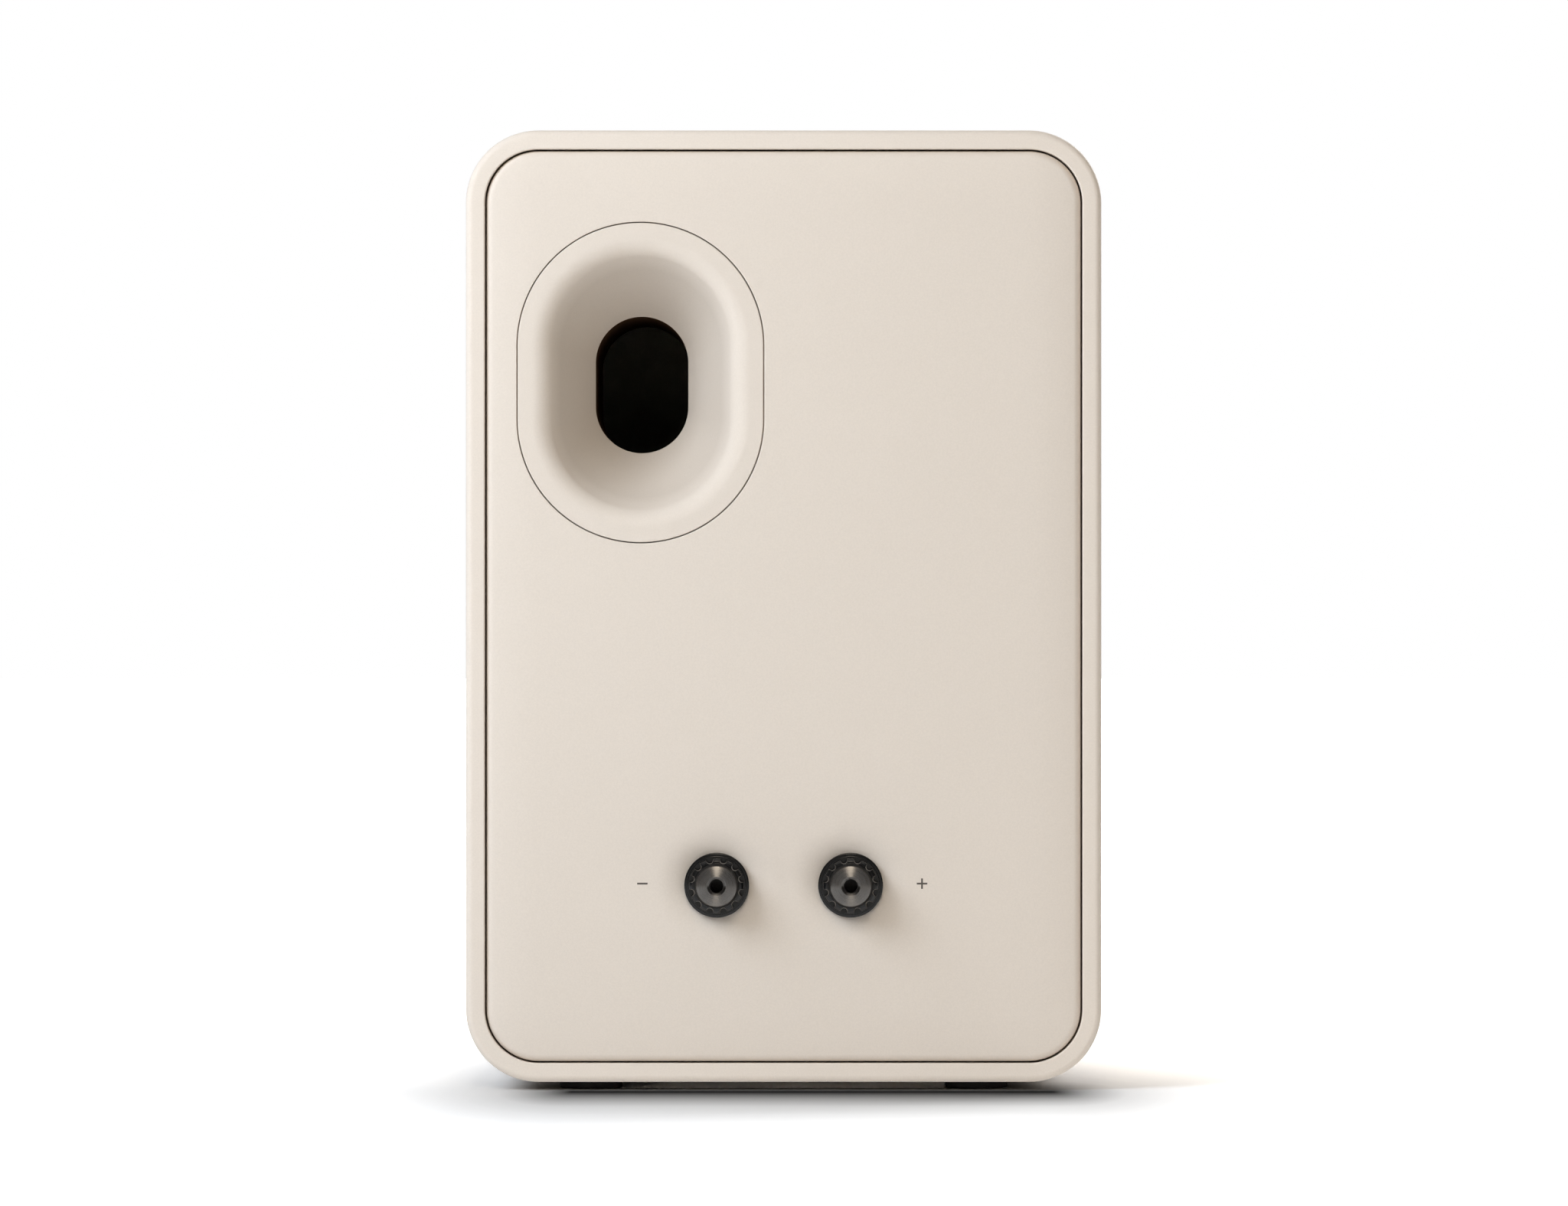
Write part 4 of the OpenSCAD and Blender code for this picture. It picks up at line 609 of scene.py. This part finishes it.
def paint_nut(nut, x):
    """Gives the nut's turned end its second finish, and the cone of its nose the third."""
    for part in nut.data.polygons:
        out = math.hypot(part.center.x / MM - x, part.center.z / MM - POST_Z)
        if part.center.y > (NOSE_Y - 0.2) * MM and out < END_R + 0.05:
            part.material_index = 1
        elif part.center.y > (CREST_Y + 0.1) * MM and out < SHOULDER_R:
            part.material_index = 2


for name, side in (("minus", 1), ("plus", -1)):
    x = side * POST_X
    end_metal = turned_metal(name + "_turned_end", (0.20, 0.191, 0.182), x, POST_Z, 0.29)
    bm = bmesh.new()
    turned(bm, x, POST_Z, [(GRIP_R, nut_lo.y, 0.15), (GRIP_R, BEVEL_Y, 0.3), (CREST_R, CREST_Y, 0.3),
                           (SHOULDER_R, CREST_Y, 0.1), (END_R, NOSE_Y, 0.22), (MOUTH_R, nut_hi.y, 0.12),
                           (NUT_HOLE_R, nut_hi.y - 0.7, 0), (NUT_HOLE_R, nut_hi.y - 1, 0),
                           (POST_R, nut_hi.y - 1, 0), (POST_R, nut_lo.y, 0)], steps=360)
    press_flutes(bm, x)
    nut = piece(name + "_nut_body", bm, name + "_nut_turned", [grip_black, end_metal, nose_black],
                [name + "_nut"], sharp=28.0)
    paint_nut(nut, x)
    face_y, hole_r = ring_hi.y - NUT_SEAT_H, POST_R + 0.1
    bm = bmesh.new()
    turned(bm, x, POST_Z, [(hole_r, ring_lo.y, 0), (CLAMP_R, ring_lo.y, 0.3), (CLAMP_R, face_y, 0.35),
                           (NUT_SEAT_R + 0.1, face_y, 0), (NUT_SEAT_R, ring_hi.y, 0.25),
                           (hole_r, ring_hi.y, 0)], steps=144)
    piece(name + "_clamp", bm, name + "_clamp", clamp_black, [name + "_clamp_ring"])

# Ink marks beside the terminals, a little proud of the face: a bar by the minus one, a cross by the plus one
MARK_W, MARK_T, MARK_Z, INK, INK_ROUND = 3.3, 0.55, POST_Z + 0.5, 0.03, 0.02
for name, x in (("minus", 44.4), ("plus", -43.5)):
    w, t = MARK_W / 2, MARK_T / 2
    corners = [(w, t), (-w, t), (-w, -t), (w, -t)]
    if name == "plus":
        corners = [(w, t), (t, t), (t, w), (-t, w), (-t, t), (-w, t),
                   (-w, -t), (-t, -t), (-t, -w), (t, -w), (t, -t), (w, -t)]
    bm = bmesh.new()
    around = [bm.verts.new(((x + a) * MM, (FACE_Y - INK) * MM, (MARK_Z + b) * MM)) for a, b in corners]
    raised = bmesh.ops.extrude_face_region(bm, geom=[bm.faces.new(around)])["geom"]
    bmesh.ops.translate(bm, vec=(0, 2 * INK * MM, 0), verts=of_kind(BMVert, raised))
    bmesh.ops.bevel(bm, geom=[e for f in of_kind(BMFace, raised) for e in f.edges], offset=INK_ROUND * MM,
                    offset_type="OFFSET", segments=2, profile=0.5, affect="EDGES", material=-1)
    piece(name + "_mark", bm, "cabinet", mark_ink)

# ---------------------------------------------------------------- feet

# A foot is a short round pad with a rounded edge, and a shallow hollow in its sole
FOOT_R, FOOT_ROUND, SOLE_RIM, SOLE_SLOPE, SOLE_HOLLOW = 9.9, 0.5, 2.2, 0.4, 0.5
bm = bmesh.new()
for x in (-foot_hi.x + FOOT_R, foot_hi.x - FOOT_R):
    for y in (foot_lo.y + FOOT_R, foot_hi.y - FOOT_R):
        known = set(bm.faces)
        middle = Matrix.Translation((x * MM, y * MM, foot_hi.z / 2 * MM))
        bmesh.ops.create_cone(bm, cap_ends=True, segments=72, radius1=FOOT_R * MM, radius2=FOOT_R * MM,
                              depth=foot_hi.z * MM, matrix=middle)
        sole = next(f for f in bm.faces if f not in known and f.normal.z < -0.9)
        bmesh.ops.inset_individual(bm, faces=[sole], thickness=SOLE_RIM * MM, depth=0)
        bmesh.ops.inset_individual(bm, faces=[sole], thickness=SOLE_SLOPE * MM, depth=-SOLE_HOLLOW * MM)
        around = {v for v in bm.verts
                  if v.co.z < 1e-6 and abs(math.hypot(v.co.x - x * MM, v.co.y - y * MM) - FOOT_R * MM) < 1e-5}
        rim = [e for e in bm.edges if around.issuperset(e.verts)]
        bmesh.ops.bevel(bm, geom=rim, offset=FOOT_ROUND * MM, offset_type="OFFSET", segments=4, profile=0.5,
                        affect="EDGES", material=-1)
piece("foot_pads", bm, "cabinet", foot_rubber, ["rubber_feet"])

# ---------------------------------------------------------------- baffle

# Names that end in F are depths behind FRONT_Y. A flat land of FLAT_R turns into a dome that falls by DOME_D
DOME_D, FLAT_R, BAFFLE_CHAMFER = 20.0, 78.0, 0.5
BACK_F = SEAM_Y - FRONT_Y

# The driver's opening and its seat, and the spigot that fits inside the shell's wall
TRIM_R, TRIM_GAP, SEAT_ROUND = (trim_hi.x - trim_lo.x) / 2, 0.3, 0.35
OPENING_R, SEAT_F, SPIGOT_T, SPIGOT_GAP, SPIGOT_D = 67.0, 9.0, 6.0, 0.3, 8.0
lip_out, lip_in = WALL + SPIGOT_GAP, WALL + SPIGOT_GAP + SPIGOT_T
bm = bmesh.new()
rim = outline(bm, 0, MID_Z, WIDTH / 2, HEIGHT / 2, CORNER_R, SEAM_Y - BAFFLE_CHAMFER, steps=28, spare=20)
rim_at = [Vector((v.co.x / MM, v.co.z / MM - MID_Z)) for v in rim]
rim_ways = ways_out(rim, 0, MID_Z, WIDTH / 2, HEIGHT / 2, CORNER_R)


def dome_place(u, f):
    """Places on the dome, from the flat land at u = 0 out to the cabinet's outline at u = 1."""
    def place(i):
        land = rim_at[i].normalized() * FLAT_R
        at = land + (rim_at[i] - land) * u
        return at.x, FRONT_Y + f, MID_Z + at.y
    return place


def circle_place(r, f):
    """Places on a circle about the driver."""
    return lambda i: ((rim_at[i].normalized() * r).x, FRONT_Y + f, MID_Z + (rim_at[i].normalized() * r).y)


def inset_place(d, f):
    """Places on the cabinet's outline, moved in by d."""
    return lambda i: (rim_ways[i][0] * (WIDTH / 2 - CORNER_R) + rim_ways[i][2] * (CORNER_R - d), FRONT_Y + f,
                      MID_Z + rim_ways[i][1] * (HEIGHT / 2 - CORNER_R) + rim_ways[i][3] * (CORNER_R - d))


rows = [dome_place(1.0, DOME_D + 0.5)]
rows += [dome_place(math.sin(a), DOME_D * (1 - math.cos(a))) for a in reversed(angles(math.pi / 2, 40))]
rows += [circle_place(FLAT_R - 0.6, 0.0), circle_place(TRIM_R + 1.2, 0.0)]
rows += [circle_place(TRIM_R + TRIM_GAP + SEAT_ROUND * (1 - math.sin(a)), SEAT_ROUND * (1 - math.cos(a)))
         for a in angles(math.pi / 2, 5)]
rows += [circle_place(TRIM_R + TRIM_GAP, SEAT_F), circle_place(OPENING_R, SEAT_F)]
rows += [circle_place(OPENING_R, BACK_F)]
rows += [inset_place(lip_in, BACK_F), inset_place(lip_in, BACK_F + SPIGOT_D),
         inset_place(lip_out, BACK_F + SPIGOT_D), inset_place(lip_out, BACK_F)]
rows += [inset_place(BAFFLE_CHAMFER, BACK_F), inset_place(0.0, BACK_F - BAFFLE_CHAMFER)]
loop = rim
for row in rows:
    loop = drawn(bm, loop, row)
piece("baffle_dome", bm, "cabinet", moulding, ["front_baffle"], even_flats=False)

# ---------------------------------------------------------------- driver

# The cone runs from its neck inside the voice coil's former to its rim, and the trim ring frames the driver
NECK_R, NECK_F, RIM_F, CONE_T, FORMER_R, FLARE = 22.4, 28.2, 7.6, 0.8, 25.0, 1.15
CONE_R, TRIM_IN_R, TRIM_T = (cone_hi.x - cone_lo.x) / 2, 66.2, 3.0


def cone_f(r):
    """The depth of the cone's face at a radius. It flares a little towards its rim."""
    return RIM_F + (NECK_F - CONE_T - RIM_F) * ((CONE_R - r) / (CONE_R - FORMER_R)) ** FLARE


bm = bmesh.new()
turned(bm, 0, MID_Z, [(TRIM_IN_R, FRONT_Y + TRIM_T, 0), (TRIM_IN_R, FRONT_Y + TRIM_T - 0.8, 0.2),
                      (TRIM_IN_R + 2.2, FRONT_Y, 0.6), (TRIM_R, FRONT_Y, 0.5),
                      (TRIM_R, FRONT_Y + TRIM_T, 0)], steps=256)
piece("trim_ring", bm, "cabinet", trim_metal, ["driver_trim_ring"])

# The cone's face, from just outside the voice coil's former to its rim
face_radii = [FORMER_R + 0.4 + (CONE_R - 2.8 - FORMER_R) * k / 32 for k in range(33)]
face = [(r, FRONT_Y + cone_f(min(r + 2.4 * (r - FORMER_R) / (CONE_R - FORMER_R), CONE_R)), 0)
        for r in face_radii]
back = [(r, y + CONE_T, 0) for r, y, _ in reversed(face)]
bm = bmesh.new()
turned(bm, 0, MID_Z, [(NECK_R, FRONT_Y + NECK_F - CONE_T, 0)] + face + [(CONE_R, FRONT_Y + RIM_F, 0),
       (CONE_R, FRONT_Y + RIM_F + CONE_T, 0)] + back + [(NECK_R, FRONT_Y + NECK_F, 0)], steps=256)
piece("cone_skin", bm, "woofer_moving", cone_metal, ["woofer_cone"], even_flats=False)

# The surround climbs from the cone to the flange behind the trim ring in three steps. Each corner on the way
# has its share of the way out, its share of the depth, and its rounding
SURROUND_T, COLLAR_IN_R, FLANGE_IN_R = 0.9, CONE_R + 4, 67.4
top_f, inner_f = TRIM_T + 0.05, RIM_F - SURROUND_T
drop, run = inner_f - top_f, COLLAR_IN_R - CONE_R
pleats = [(0.12, 0.72, 0.2), (0.42, 0.66, 0.3), (0.54, 0.33, 0.2), (0.84, 0.27, 0.3)]
crest = [(CONE_R - 2.2, inner_f, 0), (CONE_R, inner_f, 0.2)]
crest += [(CONE_R + out * run, top_f + down * drop, rounding) for out, down, rounding in pleats]
crest += [(COLLAR_IN_R - 0.1, top_f, 0.2), (FLANGE_IN_R - 0.3, top_f, 0)]
crest = [(r, FRONT_Y + f, rounding) for r, f, rounding in crest]
under = [(r, y + SURROUND_T, rounding) for r, y, rounding in reversed(crest)]
bm = bmesh.new()
turned(bm, 0, MID_Z, crest + under, steps=256)
surround = piece("surround_pleats", bm, None, surround_rubber, ["woofer_surround"],
                 sharp=50.0, even_flats=False)
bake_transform(surround)

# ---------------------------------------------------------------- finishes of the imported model's own pieces

for finish, names in {
    duct_plastic: ["port_tube", "port_inner_flare"],
    black_plastic: ["tweeter_waveguide", "tweeter_duct", "absorber_disc", "absorber_cover"],
    foam_rubber: ["brace_pads", "motor_pad", "driver_gasket"],
    gap_foam: ["rear_panel_seal"],
    acoustic_foam: ["damping_foam"],
    brass: ["stand_inserts", "post_tags"],
    zinc: ["post_lock_nuts", "board_screws", "absorber_screws"],
    cast_frame: ["driver_frame"],
    black_steel: ["driver_bolts"],
    cone_metal: ["tweeter_dome"],
    surround_rubber: ["tweeter_surround"],
    film_former: ["voice_coil_former"],
    copper: ["voice_coil", "tweeter_coil"],
    board_copper: ["bass_coils", "treble_coil"],
    spider_cloth: ["woofer_spider"],
    motor_steel: ["woofer_front_plate", "woofer_yoke", "tweeter_pole_plate", "tweeter_yoke"],
    ferrite: ["woofer_magnet"],
    nickel: ["tweeter_magnet"],
    board_green: ["bass_board", "treble_board"],
    white_nylon: ["board_standoffs"],
    phenolic: ["driver_tag_strip"],
    film_can: ["film_capacitors"],
    cement: ["power_resistors"],
    red_lead: ["input_leads", "woofer_leads"],
    grey_lead: ["tweeter_leads"],
    plywood: ["brace_vertical", "brace_horizontal"],
    black_nylon: ["post_bushes"],
    post_plate: ["minus_post", "plus_post"],
}.items():
    for name in names:
        nodes[name].data.materials.clear()
        nodes[name].data.materials.append(finish)

# ---------------------------------------------------------------- floor

# Half of the floor's side in metres, and the grey that it has for all but the camera
FLOOR_HALF, EVEN_GREY = 14.0, 0.92

# A shadow is painted on the floor for the camera, darkest along a line under the rear panel's edge. In metres,
# these are the line's middle and half length on X, its place past the panel's face, and how far a reach of 1
# goes sideways, outwards, and inwards
SHADE_X, SHADE_W, SHADE_PAST, SIDE_FADE, OUTER_FADE, INNER_FADE = -0.009, 0.075, 0.006, 0.032, 0.105, 0.08

# The painted shadow's tone is the least of three straight rises over the reach, each with its slope and its
# start
NEAR_RISE, MIDDLE_RISE, FAR_RISE, DARKEST = (1.13, -0.01), (0.5, 0.45), (0.1, 2.0), 0.02

# Well in under the cabinet, where little light comes, the tone gains UNDER_PAINTED_GAIN: painted light in that
# shade
UNDER_SIDE, UNDER_END, UNDER_FADE, UNDER_PAINTED_GAIN = 0.014, 0.020, 0.02, 10.0

floor_mesh = bpy.data.meshes.new("floor")
bm = bmesh.new()
bmesh.ops.create_grid(bm, x_segments=1, y_segments=1, size=FLOOR_HALF)
bm.to_mesh(floor_mesh)
bm.free()
floor = bpy.data.objects.new("floor", floor_mesh)
scene.collection.objects.link(floor)
# The floor's finish carries a painted shadow, which only the camera sees
painted_shadow_paper = bare("floor_paper_painted_shadow", (0.85, 0.85, 0.85), 1.0, specular=0.0)
paper_tree = painted_shadow_paper.node_tree


def worked(work, *values):
    """One step of arithmetic in the floor's finish, on numbers or on what other steps give."""
    step = paper_tree.nodes.new("ShaderNodeMath")
    step.operation = work
    for socket, value in zip(step.inputs, values):
        if isinstance(value, (int, float)):
            socket.default_value = value
        else:
            paper_tree.links.new(value, socket)
    return step.outputs["Value"]


place = paper_tree.nodes.new("ShaderNodeTexCoord")
parts = paper_tree.nodes.new("ShaderNodeSeparateXYZ")
paper_tree.links.new(place.outputs["Object"], parts.inputs["Vector"])
# The painted shadow fades with the reach from its line under the rear panel
past_side = worked("SUBTRACT", worked("ABSOLUTE", worked("SUBTRACT", parts.outputs["X"], SHADE_X)), SHADE_W)
past_end = worked("SUBTRACT", parts.outputs["Y"], FACE_Y * MM + SHADE_PAST)
across = worked("MAXIMUM", worked("DIVIDE", past_side, SIDE_FADE), 0)
along_y = worked("MAXIMUM", worked("DIVIDE", past_end, OUTER_FADE), worked("DIVIDE", past_end, -INNER_FADE))
reach = worked("SQRT", worked("ADD", worked("POWER", across, 2), worked("POWER", along_y, 2)))
near_tone = worked("MAXIMUM", worked("MULTIPLY_ADD", reach, *NEAR_RISE), DARKEST)
middle_tone = worked("MULTIPLY_ADD", reach, *MIDDLE_RISE)
far_tone = worked("MINIMUM", middle_tone, worked("MULTIPLY_ADD", reach, *FAR_RISE))
painted_shadow_tone = worked("MINIMUM", near_tone, far_tone)
inside = worked("MAXIMUM", worked("ADD", past_side, UNDER_SIDE), worked("ADD", past_end, UNDER_END))
under = worked("MINIMUM", worked("MAXIMUM", worked("DIVIDE", inside, -UNDER_FADE), 0), 1)

# Only the camera sees this tone, with its painted shadow and painted light. The light that the floor throws
# back is that of an even grey
sight = paper_tree.nodes.new("ShaderNodeLightPath")
tone = paper_tree.nodes.new("ShaderNodeMix")
tone.data_type = "RGBA"
tone.inputs["A"].default_value = (EVEN_GREY, EVEN_GREY, EVEN_GREY, 1)
paper_tree.links.new(worked("MULTIPLY_ADD", under, UNDER_PAINTED_GAIN, painted_shadow_tone), tone.inputs["B"])
paper_tree.links.new(sight.outputs["Is Camera Ray"], tone.inputs["Factor"])
paper_tree.links.new(tone.outputs["Result"], paper_tree.nodes["Principled BSDF"].inputs["Base Color"])
floor_mesh.materials.append(painted_shadow_paper)

# ---------------------------------------------------------------- light

# A plain white backdrop for the camera, and a weak warm light from all round
studio = bpy.data.worlds.new("studio")
scene.world = studio
studio.use_nodes = True
sky = studio.node_tree
sky.nodes.clear()
out = sky.nodes.new("ShaderNodeOutputWorld")
seen, lit = sky.nodes.new("ShaderNodeBackground"), sky.nodes.new("ShaderNodeBackground")
choice, path = sky.nodes.new("ShaderNodeMixShader"), sky.nodes.new("ShaderNodeLightPath")
seen.inputs["Color"].default_value, seen.inputs["Strength"].default_value = (1, 1, 1, 1), 1.0
lit.inputs["Color"].default_value, lit.inputs["Strength"].default_value = (1.06, 0.99, 0.92, 1), 0.07
sky.links.new(path.outputs["Is Camera Ray"], choice.inputs[0])
sky.links.new(lit.outputs[0], choice.inputs[1])
sky.links.new(seen.outputs[0], choice.inputs[2])
sky.links.new(choice.outputs[0], out.inputs["Surface"])


def lamp(name, kind, place, aim, power, size, color=(1, 1, 1), glints=True):
    """A lamp at a place, turned to aim. size is an area's sides in metres, or the angle that a sun fills."""
    data = bpy.data.lights.new(name, kind)
    data.energy, data.color = power, color
    if kind == "AREA":
        data.shape, data.size, data.size_y = "RECTANGLE", size[0], size[1]
    else:
        data.angle = size
    obj = bpy.data.objects.new(name, data)
    scene.collection.objects.link(obj)
    obj.visible_glossy = glints
    obj.location = place
    obj.rotation_mode = "QUATERNION"
    obj.rotation_quaternion = (Vector(aim) - Vector(place)).to_track_quat("-Z", "Y")


# The key is close by, high on the left as one faces the rear panel. The strip hangs high above the camera
face_middle = Vector((0, FACE_Y * MM, MID_Z * MM))
lamp("key", "AREA", face_middle + Vector((0.64, 0.50, 0.48)), face_middle, power=6.1, size=(0.55, 0.55),
     color=(0.90, 0.99, 1.10), glints=False)
lamp("strip", "AREA", face_middle + Vector((0, 2.5, 1.3)), face_middle, power=15.3, size=(0.5, 1.4),
     color=(1.12, 1.0, 0.83))
lamp("front_fill", "AREA", (-1.4, -2.2, 1.4), (0, 0, 0.15), power=62.0, size=(1.6, 1.6))
lamp("overhead", "SUN", (0, 0, 3), (0, 0, 0), power=0.5, size=math.radians(70), color=(1.05, 0.99, 0.93))

# ---------------------------------------------------------------- camera

# It looks straight at the rear panel. VIEW_W is how much it takes in, from side to side, at the panel's face
CAM_D, CAM_SIDE, CAM_RISE, VIEW_W, SENSOR_W = 2.6, -0.00012, 0.001, 0.4929, 36.0
camera_data = bpy.data.cameras.new("camera")
camera_data.sensor_width = SENSOR_W
camera_data.lens = SENSOR_W * CAM_D / VIEW_W
camera_data.clip_start, camera_data.clip_end = 0.1, 60.0
camera = bpy.data.objects.new("camera", camera_data)
scene.collection.objects.link(camera)
camera.location = face_middle + Vector((CAM_SIDE, CAM_D, CAM_RISE))
camera.rotation_mode = "QUATERNION"
camera.rotation_quaternion = Vector((0, -1, 0)).to_track_quat("-Z", "Y")
scene.camera = camera
scene.view_settings.view_transform = "Standard"
